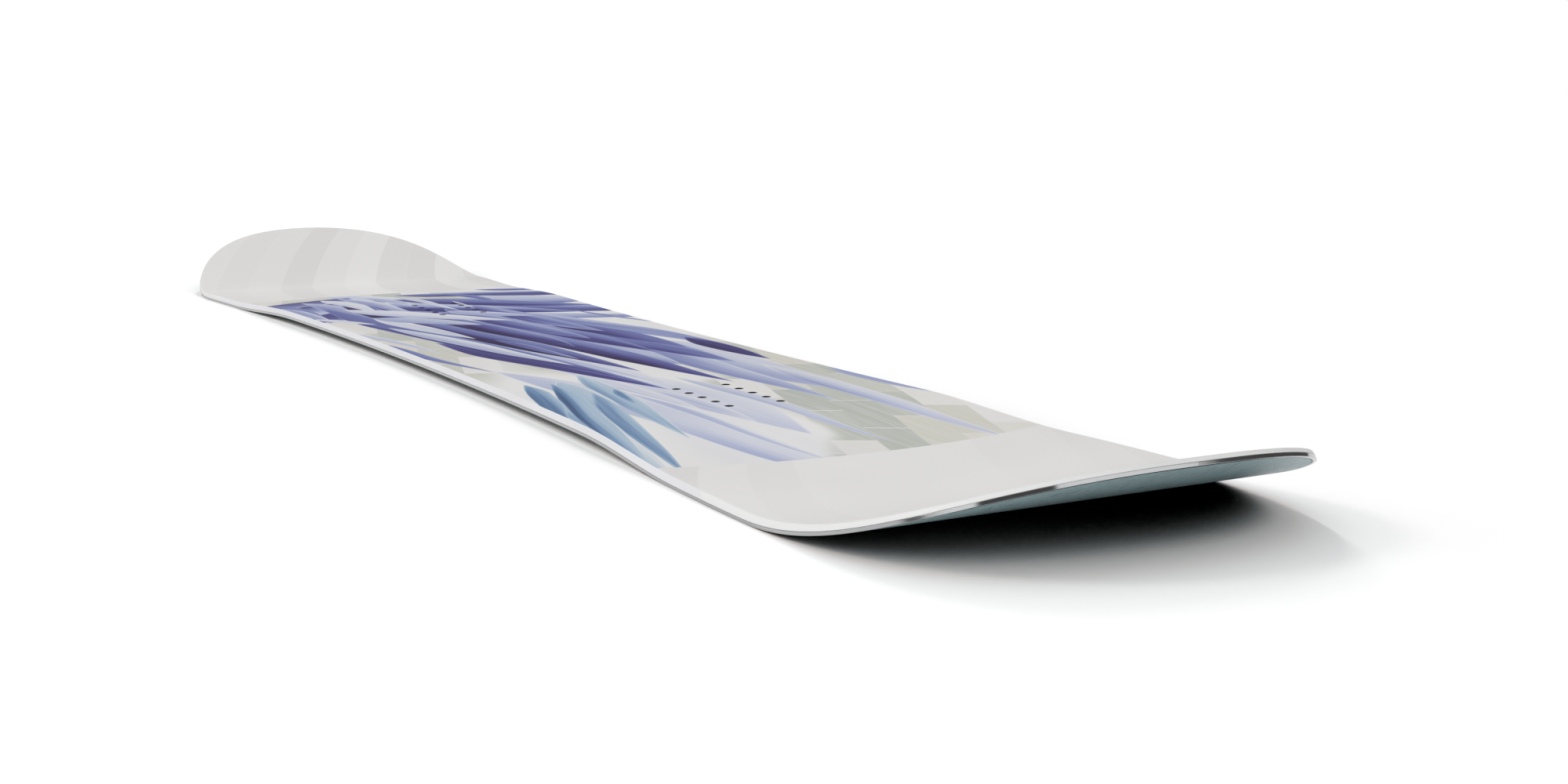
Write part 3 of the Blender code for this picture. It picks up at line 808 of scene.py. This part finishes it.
class Finish(Nodes):
    """A Principled material."""

    def __init__(self, name, color, roughness, metallic=0.0, specular=0.5):
        self.material = bpy.data.materials.new(name)
        self.material.use_nodes = True
        super().__init__(self.material.node_tree, "Object")
        self.shader = self.tree.nodes["Principled BSDF"]
        self.shader.inputs["Base Color"].default_value = (*color, 1.0)
        self.shader.inputs["Roughness"].default_value = roughness
        self.shader.inputs["Metallic"].default_value = metallic
        self.shader.inputs["Specular IOR Level"].default_value = specular

    def bump(self, height, strength, distance):
        """Bump on the shader's normal."""
        node = self.add("ShaderNodeBump", Height=height, Strength=strength, Distance=distance)
        self.tree.links.new(node.outputs[0], self.shader.inputs["Normal"])

    def paint(self, color):
        """Base colour from a node."""
        self.tree.links.new(color, self.shader.inputs["Base Color"])

    def cloud(self, value, first, second, span=(0.35, 0.65)):
        """Base colour between two, by a noise's value."""
        self.paint(self.mix(self.ramp(value, *span), first, second))

    def gloss(self, value, smooth, rough):
        """Roughness between two, by a noise's value."""
        self.tree.links.new(self.ramp(value, *NOISE_SPAN, smooth, rough), self.shader.inputs["Roughness"])

    def mark(self, name):
        """A number that was kept with the mesh's points."""
        return self.add("ShaderNodeAttribute", {"attribute_name": name}).outputs["Fac"]

    def along_rim(self):
        """Coordinates that follow the rim: the run, then the height."""
        return self.add("ShaderNodeCombineXYZ", X=self.mark("run"), Y=self.z).outputs[0]


# %% [markdown]
# ## Plain finishes
#
# The walls are milled ABS, so fine tool marks run along them. The base is polyethylene that a stone grinder
# has given a lengthwise structure. The edge is ground steel: its scratches follow the rim, so its grain reads
# the length along the rim that was stored in the mesh. Wood and glass cloth are hidden, but they get their
# grain too, because a part may be taken apart.

# %% Walls, base and steel
CLOUD_SHADE = 0.965


def wall_finish(name, color):
    """Milled ABS: satin, with faint tool marks across the run and a little waviness."""
    wall = Finish(name, color, 0.42, specular=0.3)
    marks = wall.noise(1.0, (900.0, 5000.0, 1.0), 1.0, vector=wall.along_rim())
    wall.cloud(wall.noise(9.0, detail=1.0), color, tuple(CLOUD_SHADE * c for c in color))
    wall.gloss(marks, 0.36, 0.46)
    wall.bump(marks, 0.25, 0.02 * MM)
    return wall.material


def base_finish():
    """Ground polyethylene: fine grooves along the board, over a broken second pattern."""
    base = Finish("ground_polyethylene", (0.35, 0.50, 0.53), 0.32, specular=0.4)
    fine = base.noise(1.0, (25.0, 2600.0, 1.0), 1.0)
    broken = base.noise(1.0, (60.0, 700.0, 1.0), 2.0, (0.3, 0.1, 0.0))
    tone = base.weigh((fine, 0.35), (broken, 0.25), (base.noise(3.0), 0.4))
    base.cloud(tone, (0.325, 0.465, 0.495), (0.375, 0.520, 0.550))
    base.gloss(broken, 0.26, 0.40)
    base.bump(fine, 0.35, 0.03 * MM)
    return base.material


def edge_finish():
    """Ground steel: scratches along the rim, from the stored run."""
    steel = Finish("ground_edge_steel", (0.49, 0.495, 0.50), 0.1, metallic=1.0)
    scratches = steel.noise(1.0, (60.0, 9000.0, 1.0), vector=steel.along_rim())
    steel.cloud(scratches, (0.45, 0.455, 0.46), (0.53, 0.535, 0.54), NOISE_SPAN)
    steel.gloss(steel.weigh((scratches, 0.6), (steel.noise(30.0), 0.4)), 0.07, 0.11)
    steel.bump(scratches, 0.2, 0.01 * MM)
    return steel.material


def insert_finish():
    """Turned stainless steel, with rings from the tool."""
    steel = Finish("turned_insert_steel", (0.17, 0.17, 0.18), 0.4, metallic=1.0)
    rings = steel.noise(1.0, (300.0, 300.0, 9000.0), 1.0)
    steel.cloud(rings, (0.12, 0.12, 0.13), (0.20, 0.20, 0.21), NOISE_SPAN)
    steel.gloss(rings, 0.32, 0.48)
    return steel.material


# %% Wood and glass cloth
def wood_finish(name, light, dark):
    """Sawn strip: long fibres and growth bands along the board."""
    wood = Finish(name, light, 0.6)
    bands = wood.noise(1.0, (3.0, 90.0, 160.0), 3.0)
    fibres = wood.noise(1.0, (60.0, 1800.0, 1800.0))
    wood.cloud(wood.weigh((bands, 0.65), (fibres, 0.35)), light, dark)
    wood.gloss(fibres, 0.52, 0.7)
    wood.bump(fibres, 0.4, 0.05 * MM)
    return wood.material


# The walls of the screw holes are painted near black: painted shade for the deep, dim holes.
BORE_PAINTED_SHADE = (0.006, 0.006, 0.007)
THREAD_SPACING = 1.2 * MM


def laminate_finish():
    """Glass cloth in clear resin: a plain weave, greenish white and glossy, with the walls of the screw holes
    painted near black as shade.
    """
    glass = Finish("glass_laminate", (0.62, 0.68, 0.58), 0.25)
    wave = math.tau / THREAD_SPACING
    warp, weft = (glass.sum("SINE", glass.times(axis, wave)) for axis in (glass.x, glass.y))
    weave = glass.times(warp, weft)
    cloth = glass.mix(glass.ramp(weave, -0.6, 0.6), (0.55, 0.61, 0.51), (0.70, 0.75, 0.66))
    # Painted shade: the walls of the screw holes are near black.
    glass.paint(glass.mix(glass.mark("bored"), cloth, BORE_PAINTED_SHADE))
    glass.bump(weave, 0.3, 0.05 * MM)
    return glass.material


# %% [markdown]
# ## The print
#
# A topsheet is printed on its underside, so the picture lies under a satin surface and has no relief. The
# design here is a plain one: folds of silk that drift along the deck, over a ground of slanted planks, in
# indigo, lavender, ice blue and stone. A few groups by the nose turn across the deck, so the design gathers
# there. Drawing each fold by hand would take a long list. Instead the deck is cut into lanes across the
# drift, and every lane draws lots for where its fold lies and how dark it is. A fold is widest near its
# middle and comes to a point at both ends, and its shade runs from one side to the other, which is what
# makes it look folded.

# %% Colours of the print
PAPER = (0.760, 0.753, 0.747)
SILK = [(0.690, 0.700, 0.745), (0.430, 0.470, 0.640), (0.185, 0.215, 0.450), (0.085, 0.078, 0.255),
        (0.040, 0.028, 0.085)]
FROST = [(0.640, 0.680, 0.720), (0.350, 0.470, 0.600), (0.150, 0.250, 0.420), (0.060, 0.105, 0.210)]
MIST = (0.660, 0.668, 0.725)
STONE = (0.530, 0.540, 0.485)
MOSS = (0.450, 0.480, 0.435)
SAND = (0.650, 0.630, 0.560)
BAND_GREY = (0.690, 0.680, 0.673)

# %% Folds
# Each layer of folds: colours, lane width, drift angle, its middle (along, across), the scatter of its folds
# along the drift, half the length of a fold, half the layer's width, how full it is, how dark: from, to.
FOLD_LAYERS = [
    (SILK, 0.064, 1.00, (0.13, -0.300), 0.05, 0.13, 0.170, 1.05, (0.10, 0.72)),
    (SILK, 0.058, 0.10, (0.02, 0.010), 0.34, 0.26, 0.170, 1.05, (0.00, 0.34)),
    (SILK, 0.036, 0.04, (-0.10, -0.020), 0.28, 0.20, 0.120, 0.85, (0.00, 0.46)),
    (SILK, 0.060, -0.90, (0.15, 0.300), 0.05, 0.11, 0.110, 1.05, (0.20, 0.92)),
    (SILK, 0.052, 0.80, (0.17, -0.200), 0.06, 0.11, 0.120, 0.95, (0.20, 0.90)),
    (SILK, 0.040, 0.17, (0.16, -0.010), 0.24, 0.20, 0.130, 1.00, (0.20, 0.86)),
    (SILK, 0.024, 0.08, (-0.08, 0.030), 0.26, 0.17, 0.100, 0.60, (0.00, 0.30)),
    (FROST, 0.025, -0.16, (-0.32, 0.055), 0.09, 0.15, 0.055, 0.95, (0.00, 0.62)),
    (SILK, 0.030, 0.12, (0.20, 0.005), 0.18, 0.20, 0.115, 1.15, (0.45, 1.00)),
    (SILK, 0.021, 0.15, (0.24, 0.020), 0.18, 0.13, 0.110, 0.85, (0.00, 0.40)),
    (FROST, 0.020, -0.24, (-0.31, 0.045), 0.09, 0.13, 0.050, 0.95, (0.25, 1.00)),
    (SILK, 0.030, 0.10, (0.10, -0.040), 0.18, 0.16, 0.080, 0.95, (0.35, 1.00)),
    (SILK, 0.034, 0.60, (0.22, -0.110), 0.05, 0.07, 0.080, 0.90, (0.00, 0.40)),
]
BEND = 0.11
HEAD_TAPER = 1.45
TAIL_TAPER = 0.78
FOLD_ROUND = 0.62
FOLD_EDGE = 0.5 * MM
HEM_WIDTH = 3.0 * MM
HEM_LIGHT = 0.30
VEINS = 420.0


def palette(sheet, value, colors):
    """Colour ramp with even stops."""
    node = sheet.add("ShaderNodeValToRGB", Fac=value)
    stops = node.color_ramp.elements
    for k, color in enumerate(colors):
        place = k / (len(colors) - 1)
        stop = stops[k] if k < 2 else stops.new(place)
        stop.position = place
        stop.color = (*color, 1.0)
    return node.outputs[0]


def lay_folds(sheet, under, seed, layer, bend):
    """Paint a layer: a lane holds a fold of half width fill - u^2 - v^2, u along the drift, v across it."""
    colors, pitch, angle, middle, scatter, half_length, half_wide, fill, (pale, dark) = layer
    c, s = math.cos(angle), math.sin(angle)
    along = sheet.weigh((sheet.x, c), (sheet.y, s))
    across = sheet.weigh((sheet.x, -s), (sheet.y, c), (bend, BEND), shift=-BEND / 2)
    lane = sheet.sum("MULTIPLY_ADD", across, 1 / pitch, 31.3 * seed)
    number = sheet.sum("FLOOR", lane)
    part = sheet.sum("FRACT", lane)
    lots = sheet.add("ShaderNodeTexWhiteNoise", {"noise_dimensions": "1D"}, W=number)
    draw = sheet.add("ShaderNodeSeparateXYZ", Vector=lots.outputs["Color"]).outputs
    place = sheet.weigh((draw[0], 2 * scatter), shift=middle[0] - scatter)
    reach = sheet.less(along, place)
    to_head, to_tail = (sheet.times(reach, taper) for taper in (HEAD_TAPER, -TAIL_TAPER))
    reach = sheet.sum("MAXIMUM", to_head, to_tail)
    u = sheet.sum("DIVIDE", reach, sheet.weigh((draw[1], half_length), shift=half_length / 2))
    v = sheet.sum("DIVIDE", sheet.less(across, middle[1]), half_wide)
    squares = sheet.sum("MULTIPLY_ADD", u, u, sheet.times(v, v))
    width = sheet.times(sheet.less(fill, squares), FOLD_ROUND)
    from_middle = sheet.sum("ABSOLUTE", sheet.less(part, 0.5))
    room = sheet.less(sheet.sum("MINIMUM", width, 0.5), from_middle)
    present = sheet.ramp(room, 0.0, FOLD_EDGE / pitch)
    hem = sheet.ramp(room, 0.0, HEM_WIDTH / pitch, HEM_LIGHT, 0.0)
    grain = sheet.add("ShaderNodeCombineXYZ", X=along, Y=across).outputs[0]
    strands = sheet.noise(1.0, (3.5, 1.3 / pitch, 1.0), 1.0, (seed, 0.0, 0.0), vector=grain)
    veins = sheet.noise(1.0, (5.0, VEINS, 1.0), 2.0, (0.0, seed, 0.0), vector=grain)
    parts = [(part, 0.75), (strands, 0.95), (veins, 0.35), (draw[2], 0.45), (hem, -1.0)]
    tone = sheet.ramp(sheet.weigh(*parts, shift=-0.77), 0.0, 1.0, pale, dark)
    return sheet.mix(present, under, palette(sheet, tone, colors))


# %% Planks and bands
PLANK = (92 * MM, 31 * MM)
PLANK_LEAN = 0.30
PLANK_TURN = 1.5
PLANK_STAGGER = 0.41
PLANK_GAP = 0.8 * MM


def plank_ground(sheet):
    """Slanted planks: a grid of long cells on leaning axes, each with its own tint and a hair of gap."""
    row = sheet.sum("DIVIDE", sheet.weigh((sheet.y, 1.0), (sheet.x, PLANK_LEAN)), PLANK[1])
    number = sheet.sum("FLOOR", row)
    end = sheet.weigh((sheet.x, 1.0), (sheet.y, -PLANK_TURN * PLANK_LEAN), (number, PLANK_STAGGER * PLANK[0]))
    place = sheet.sum("DIVIDE", end, PLANK[0])
    cell = sheet.add("ShaderNodeCombineXYZ", X=number, Y=sheet.sum("FLOOR", place)).outputs[0]
    lots = sheet.add("ShaderNodeTexWhiteNoise", {"noise_dimensions": "2D"}, Vector=cell).outputs[0]
    tint = palette(sheet, lots, [SAND, STONE, MOSS, SAND, PAPER])
    grain = sheet.noise(1.0, (9.0, 260.0, 1.0), 3.0)
    tint = sheet.mix(sheet.ramp(grain, 0.3, 0.8, 0.0, 0.35), tint, PAPER)
    edge = sheet.sum("ABSOLUTE", sheet.less(sheet.sum("FRACT", place), 0.5))
    gap = 0.5 - PLANK_GAP / PLANK[0]
    return sheet.mix(sheet.ramp(edge, gap, gap + 0.002), tint, PAPER)


BAND_PITCH = 0.034
BAND_LEAN = 0.22
BAND_CURVE = 1.6
BAND_MIDDLE = 0.60
BAND_WARP = 0.05
BAND_EDGE = 0.03


def tip_bands(sheet):
    """Broad faint bands, y + lean x + curve (|x| - middle)^2 apart, each with its own tint from lots."""
    reach = sheet.less(sheet.sum("ABSOLUTE", sheet.x), BAND_MIDDLE)
    curve = sheet.times(reach, reach, BAND_CURVE)
    warp = sheet.noise(2.2, detail=0.0)
    lane = sheet.weigh((sheet.y, 1.0), (sheet.x, BAND_LEAN), (curve, 1.0), (warp, BAND_WARP))
    lane = sheet.sum("DIVIDE", lane, BAND_PITCH)
    number = sheet.sum("FLOOR", lane)
    lots = sheet.add("ShaderNodeTexWhiteNoise", {"noise_dimensions": "1D"}, W=number).outputs[0]
    fill = sheet.ramp(sheet.sum("FRACT", lane), 0.0, BAND_EDGE)
    return sheet.times(fill, sheet.ramp(lots, 0.25, 1.0))


# %% Topsheet
PRINT_TAIL = -0.490
PRINT_NOSE = 0.475
PRINT_BOW = 1.1
PRINT_EDGE = 0.3 * MM
PLANK_CORNERS = 5.0


def topsheet_finish():
    """Satin topsheet with its print, faint bands on the tips, painted shade on the walls of the screw holes
    and the grain of a sanded plastic film.
    """
    sheet = Finish("satin_topsheet", PAPER, 0.38, specular=0.22)
    bend = sheet.noise(2.0, (1.0, 0.8, 1.0), 1.5)
    wash = sheet.noise(3.4, (0.7, 1.6, 1.0), 3.0, (0.7, 0.2, 0.0))
    corners = sheet.weigh((sheet.times(sheet.x, sheet.y), PLANK_CORNERS), (wash, 1.0))
    picture = sheet.mix(sheet.ramp(corners, 0.42, 0.50), PAPER, plank_ground(sheet))
    haze = sheet.ramp(sheet.noise(3.0, (0.8, 3.0, 1.0), 3.0), 0.50, 0.72, 0.0, 0.6)
    picture = sheet.mix(haze, picture, MIST)
    for seed, layer in enumerate(FOLD_LAYERS):
        picture = lay_folds(sheet, picture, seed + 1, layer, bend)
    bow = sheet.times(sheet.y, sheet.y, -PRINT_BOW)
    from_tail = sheet.weigh((sheet.x, 1.0), (bow, 1.0), shift=-PRINT_TAIL)
    to_nose = sheet.weigh((sheet.x, -1.0), (bow, 1.0), shift=PRINT_NOSE)
    printed = sheet.ramp(sheet.sum("MINIMUM", from_tail, to_nose), -PRINT_EDGE, PRINT_EDGE)
    faint = sheet.times(tip_bands(sheet), sheet.ramp(sheet.x, -0.60, -0.40, 0.45, 1.0))
    white = sheet.mix(faint, PAPER, BAND_GREY)
    # The walls of the screw holes get painted shade, near black.
    sheet.paint(sheet.mix(sheet.mark("bored"), sheet.mix(printed, white, picture), BORE_PAINTED_SHADE))
    sheet.gloss(sheet.noise(6.0), 0.35, 0.42)
    sheet.bump(sheet.noise(900.0), 0.12, 0.01 * MM)
    return sheet.material


# %% [markdown]
# ## Every piece gets its finish
#
# The pieces made above stand for their nodes in the frame. The core strips and the lower laminate keep the
# frame's own meshes, because nothing of them shows, and only their finishes change.

# %% Dressing
side_wall = wall_finish("milled_wall_plastic", (0.82, 0.82, 0.845))
# The tip spacers are the walls' plastic painted a little lighter: painted light for the bright highlight
# along the tips' rim.
tip_plastic_painted_lighter = wall_finish("milled_tip_plastic", (0.85, 0.85, 0.845))
glass_cloth = laminate_finish()
edge_steel = edge_finish()
insert_steel = insert_finish()
poplar = wood_finish("poplar", (0.70, 0.56, 0.38), (0.56, 0.41, 0.25))
hardwood = wood_finish("beech", (0.52, 0.33, 0.19), (0.38, 0.22, 0.12))

dress(printed_topsheet, topsheet_finish(), "topsheet", "topsheet")
dress(upper_laminate, glass_cloth, "laminate", "top_laminate")
dress(running_base, base_finish(), "base", "base_sheet")
dress(edge_right, edge_steel, "edge_steel", "steel_edge_right")
dress(edge_left, edge_steel, "edge_steel", "steel_edge_left")
dress(wall_right, side_wall, "sidewall", "sidewall_right")
dress(wall_left, side_wall, "sidewall", "sidewall_left")
dress(nose_fill, tip_plastic_painted_lighter, "tip_spacer", "nose_spacer")
dress(tail_fill, tip_plastic_painted_lighter, "tip_spacer", "tail_spacer")
for node, insert in inserts.items():
    dress(insert, insert_steel, "insert_steel", node)

KEPT = {"bottom_laminate": glass_cloth}
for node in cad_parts:
    if node.startswith("core_insert_strip"):
        KEPT[node] = hardwood
    elif node.startswith("core_strip"):
        KEPT[node] = poplar
for node, finish in KEPT.items():
    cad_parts[node].material_slots[0].material = finish
print("nodes with a new finish:", len(KEPT), "of", len(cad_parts))

# %% [markdown]
# ## Floor
#
# The photograph has a white floor that fades into a white room, and a black, soft-edged shadow under the
# raised tail. A shadow is rarely as black as that one, because the base above it throws light back. So the
# floor's paint grows darker where the tail hides the sky, both in what the camera sees and in what the steel
# mirrors. Beside the rest of the rim it is darkest right under the edge, and keeps a wide, faint halo outside
# it. What the base throws down is also blue, and a little warmth in the shaded paint cancels it.

# %% Shade of the floor
FLOOR_REACH = 60.0
FLOOR_DROP = 0.05 * MM
# The floor's paint is lighter on the board's left than on its right: painted light, as if more light came
# from the left.
FLOOR_RIGHT_PAINTED_DIMMER = 0.93
FLOOR_LEFT_PAINTED_LIGHTER = 1.02
FLOOR_SIDES = (-0.20, 0.15)
FLOOR_BOUNCE = 0.80
FAR_FLOOR = (1.5, 4.0)
SHADOW_REACH = 0.35
SHADOW_SAMPLES = 32
# Under the tail: full and no shade by the share of open sky, its lean to the right, and where it starts.
TAIL_SHADE = (0.05, 0.275)
TAIL_LEAN = 0.12
TAIL_ENDS = (-0.62, -0.46)
# Beside the rest of the rim, by the share of open sky: the start, then steps (from, to, change).
RIM_START = -0.48
RIM_STEPS = [(0.0, 0.28, 0.75), (0.42, 0.68, -0.39), (0.95, 1.0, 0.12)]
WARM = (1.085, 0.990, 0.965)
WARM_AT_TIPS = (0.25, 0.80)
WARM_ELSEWHERE = (0.20, 0.50)
WHITE = (1.0, 1.0, 1.0)


def floor_shade(paint, sky, ray):
    """Grey of the floor: to the camera, a white painted lighter on the left, times painted tail shade, times
    painted rim shade; else a plain bounce.
    """
    side = paint.ramp(paint.y, *FLOOR_SIDES)
    leaning = paint.weigh((sky, 1.0), (side, TAIL_LEAN), shift=-TAIL_LEAN / 2)
    tail = paint.ramp(paint.x, *TAIL_ENDS, 1.0, 0.0)
    dark = paint.times(paint.ramp(leaning, *TAIL_SHADE, 1.0, 0.0), tail)
    white = paint.weigh((side, FLOOR_LEFT_PAINTED_LIGHTER - FLOOR_RIGHT_PAINTED_DIMMER), shift=FLOOR_RIGHT_PAINTED_DIMMER)
    rim = RIM_START
    for low, high, change in RIM_STEPS:
        rim = paint.weigh((paint.ramp(sky, low, high), change), shift=rim)
    rim = paint.sum("MULTIPLY_ADD", rim, paint.less(1.0, tail), 1.0)
    seen = paint.times(white, paint.less(1.0, dark), rim)
    mirrored = paint.times(dark, ray["Is Glossy Ray"])
    bounce = paint.weigh((mirrored, -FLOOR_BOUNCE), shift=FLOOR_BOUNCE)
    return paint.blend(ray["Is Camera Ray"], bounce, seen)


def floor_tint(paint, sky):
    """Warmth of the shaded paint, which reaches further out round the tips."""
    tips = paint.ramp(paint.sum("ABSOLUTE", paint.x), -TAIL_ENDS[1], -TAIL_ENDS[0])
    at_tips = paint.times(paint.ramp(sky, *WARM_AT_TIPS, 1.0, 0.0), tips)
    elsewhere = paint.ramp(sky, *WARM_ELSEWHERE, 1.0, 0.0)
    return paint.mix(paint.sum("MAXIMUM", at_tips, elsewhere), WHITE, WARM)


# %% Floor paint
def floor_paint():
    """White matt paint with the shade in it, which far away gives way to a plain white."""
    material = bpy.data.materials.new("studio_floor_white")
    paint = fresh_nodes(material, "Object")
    settings = {"samples": SHADOW_SAMPLES}
    sky = paint.add("ShaderNodeAmbientOcclusion", settings, Distance=SHADOW_REACH).outputs["AO"]
    ray = paint.add("ShaderNodeLightPath").outputs
    shade, tint = floor_shade(paint, sky, ray), floor_tint(paint, sky)
    color = paint.add("ShaderNodeVectorMath", {"operation": "SCALE"}, Vector=tint, Scale=shade)
    away = paint.add("ShaderNodeVectorMath", {"operation": "LENGTH"}, Vector=paint.place).outputs["Value"]
    far = paint.times(paint.ramp(away, *FAR_FLOOR), ray["Is Camera Ray"])
    blend = paint.add("ShaderNodeMixShader", Fac=far)
    paint.feed(blend.inputs[1], paint.add("ShaderNodeBsdfDiffuse", Color=color.outputs[0]).outputs[0])
    paint.feed(blend.inputs[2], paint.add("ShaderNodeEmission").outputs[0])
    paint.add("ShaderNodeOutputMaterial", Surface=blend.outputs[0])
    return material


def make_floor():
    """Large plane just under the board."""
    mesh = bpy.data.meshes.new("studio_floor")
    signs = ((-1, -1), (1, -1), (1, 1), (-1, 1))
    mesh.from_pydata([(FLOOR_REACH * x, FLOOR_REACH * y, -FLOOR_DROP) for x, y in signs], [], [(0, 1, 2, 3)])
    mesh.materials.append(floor_paint())
    floor = stand("studio_floor", mesh)


make_floor()
print("floor:", 2 * FLOOR_REACH, "m wide")

# %% [markdown]
# ## Sky, sun and strip
#
# Light that falls evenly from above makes a soft shadow, so the world is the main lamp: a dome overhead, a
# glow low on the board's left, and little else near the horizon. The camera sees plain white there instead.
# Steel is a mirror, and shows what stands on the horizon, so a few bright strips are there for it alone: they
# give the edge its light and dark stretches. A sun over the left of the nose and a tall, narrow strip lamp
# beyond it draw the edges that the tail's shadow has on its right.

# %% World light
SKY_TOP = 1.04
SKY_RIM = 0.10
SKY_LOW = math.sin(math.radians(20))
SKY_FULL = math.sin(math.radians(46))
SKY_LIFT_FOR_STEEL = 0.25
# Low light on the left: from and to in degrees, its strength, and its strength for glossy rays.
LOW_LIGHT = [(30, 120, 0.95, 0.75), (120, 165, 0.55, 0.0)]
LOW_LIGHT_RISE = 2 * math.sin(math.radians(6))
LOW_LIGHT_SOFT = 0.04
# Strips that only glossy rays meet: from and to in degrees, and their strength.
STRIPS = [(91, 119, 0.32), (169, 228.5, 1.05), (290, 305, 0.5)]
STRIP_SOFT = 0.03


def light_world():
    """World: dome over an elevation, low light on the left, strips for the steel, white to the camera."""
    world = bpy.data.worlds.new("studio_world")
    bpy.context.scene.world = world
    sky = fresh_nodes(world, "Generated")
    ray = sky.add("ShaderNodeLightPath").outputs
    glossy = ray["Is Glossy Ray"]
    dome = sky.ramp(sky.weigh((sky.z, 1.0), (glossy, -SKY_LIFT_FOR_STEEL)), SKY_LOW, SKY_FULL)
    heading = sky.sum("FLOORED_MODULO", sky.sum("ARCTAN2", sky.y, sky.x), math.tau)
    rise = sky.ramp(sky.z, 0.0, LOW_LIGHT_RISE)
    low = SKY_RIM
    for start, end, strength, on_steel in LOW_LIGHT:
        place = sky.band(heading, math.radians(start), math.radians(end), LOW_LIGHT_SOFT)
        glow = sky.weigh((glossy, on_steel - strength), shift=strength)
        low = sky.weigh((sky.times(place, rise), glow), shift=low)
    for start, end, strength in STRIPS:
        place = sky.band(heading, math.radians(start), math.radians(end), STRIP_SOFT)
        low = sky.weigh((sky.times(place, glossy), strength), shift=low)
    strength = sky.weigh((dome, SKY_TOP), shift=sky.times(low, sky.less(1.0, dome)))
    light = sky.add("ShaderNodeBackground", Strength=sky.blend(ray["Is Camera Ray"], strength, 1.0))
    light.inputs["Color"].default_value = (*WHITE, 1.0)
    sky.add("ShaderNodeOutputWorld", Surface=light.outputs[0])


light_world()
print("strips on the horizon:", len(STRIPS))

# %% Lamps
SUN_PLACE = (math.radians(60), math.radians(38))
SUN_STRENGTH = 0.45
SUN_WIDTH = math.radians(14)
STRIP_PLACE = (math.radians(-24), math.radians(32))
STRIP_AWAY = 10.0
STRIP_SPREAD = (2.0, 30.0)
STRIP_POWER = 290.0


def hang(light, place, away=1.0, over=(0.0, 0.0, 0.0)):
    """Lamp at a heading and a height from a point on the ground, turned to that point."""
    lamp = stand(light.name, light)
    lamp.rotation_euler = direction(*place).to_track_quat("Z", "Y").to_euler()
    lamp.location = direction(*place) * away + Vector(over)
    return lamp


sun = bpy.data.lights.new("key_light", "SUN")
sun.energy = SUN_STRENGTH
sun.angle = SUN_WIDTH
hang(sun, SUN_PLACE)

strip = bpy.data.lights.new("strip_lamp", "AREA")
strip.shape = "RECTANGLE"
strip.size, strip.size_y = (2 * STRIP_AWAY * math.tan(math.radians(a) / 2) for a in STRIP_SPREAD)
strip.energy = STRIP_POWER
hang(strip, STRIP_PLACE, STRIP_AWAY, (-TAIL_CONTACT, 0.0, 0.0)).visible_glossy = False
bpy.context.scene.view_settings.view_transform = "Standard"
print("strip lamp:", round(strip.size, 2), "by", round(strip.size_y, 2), "m")
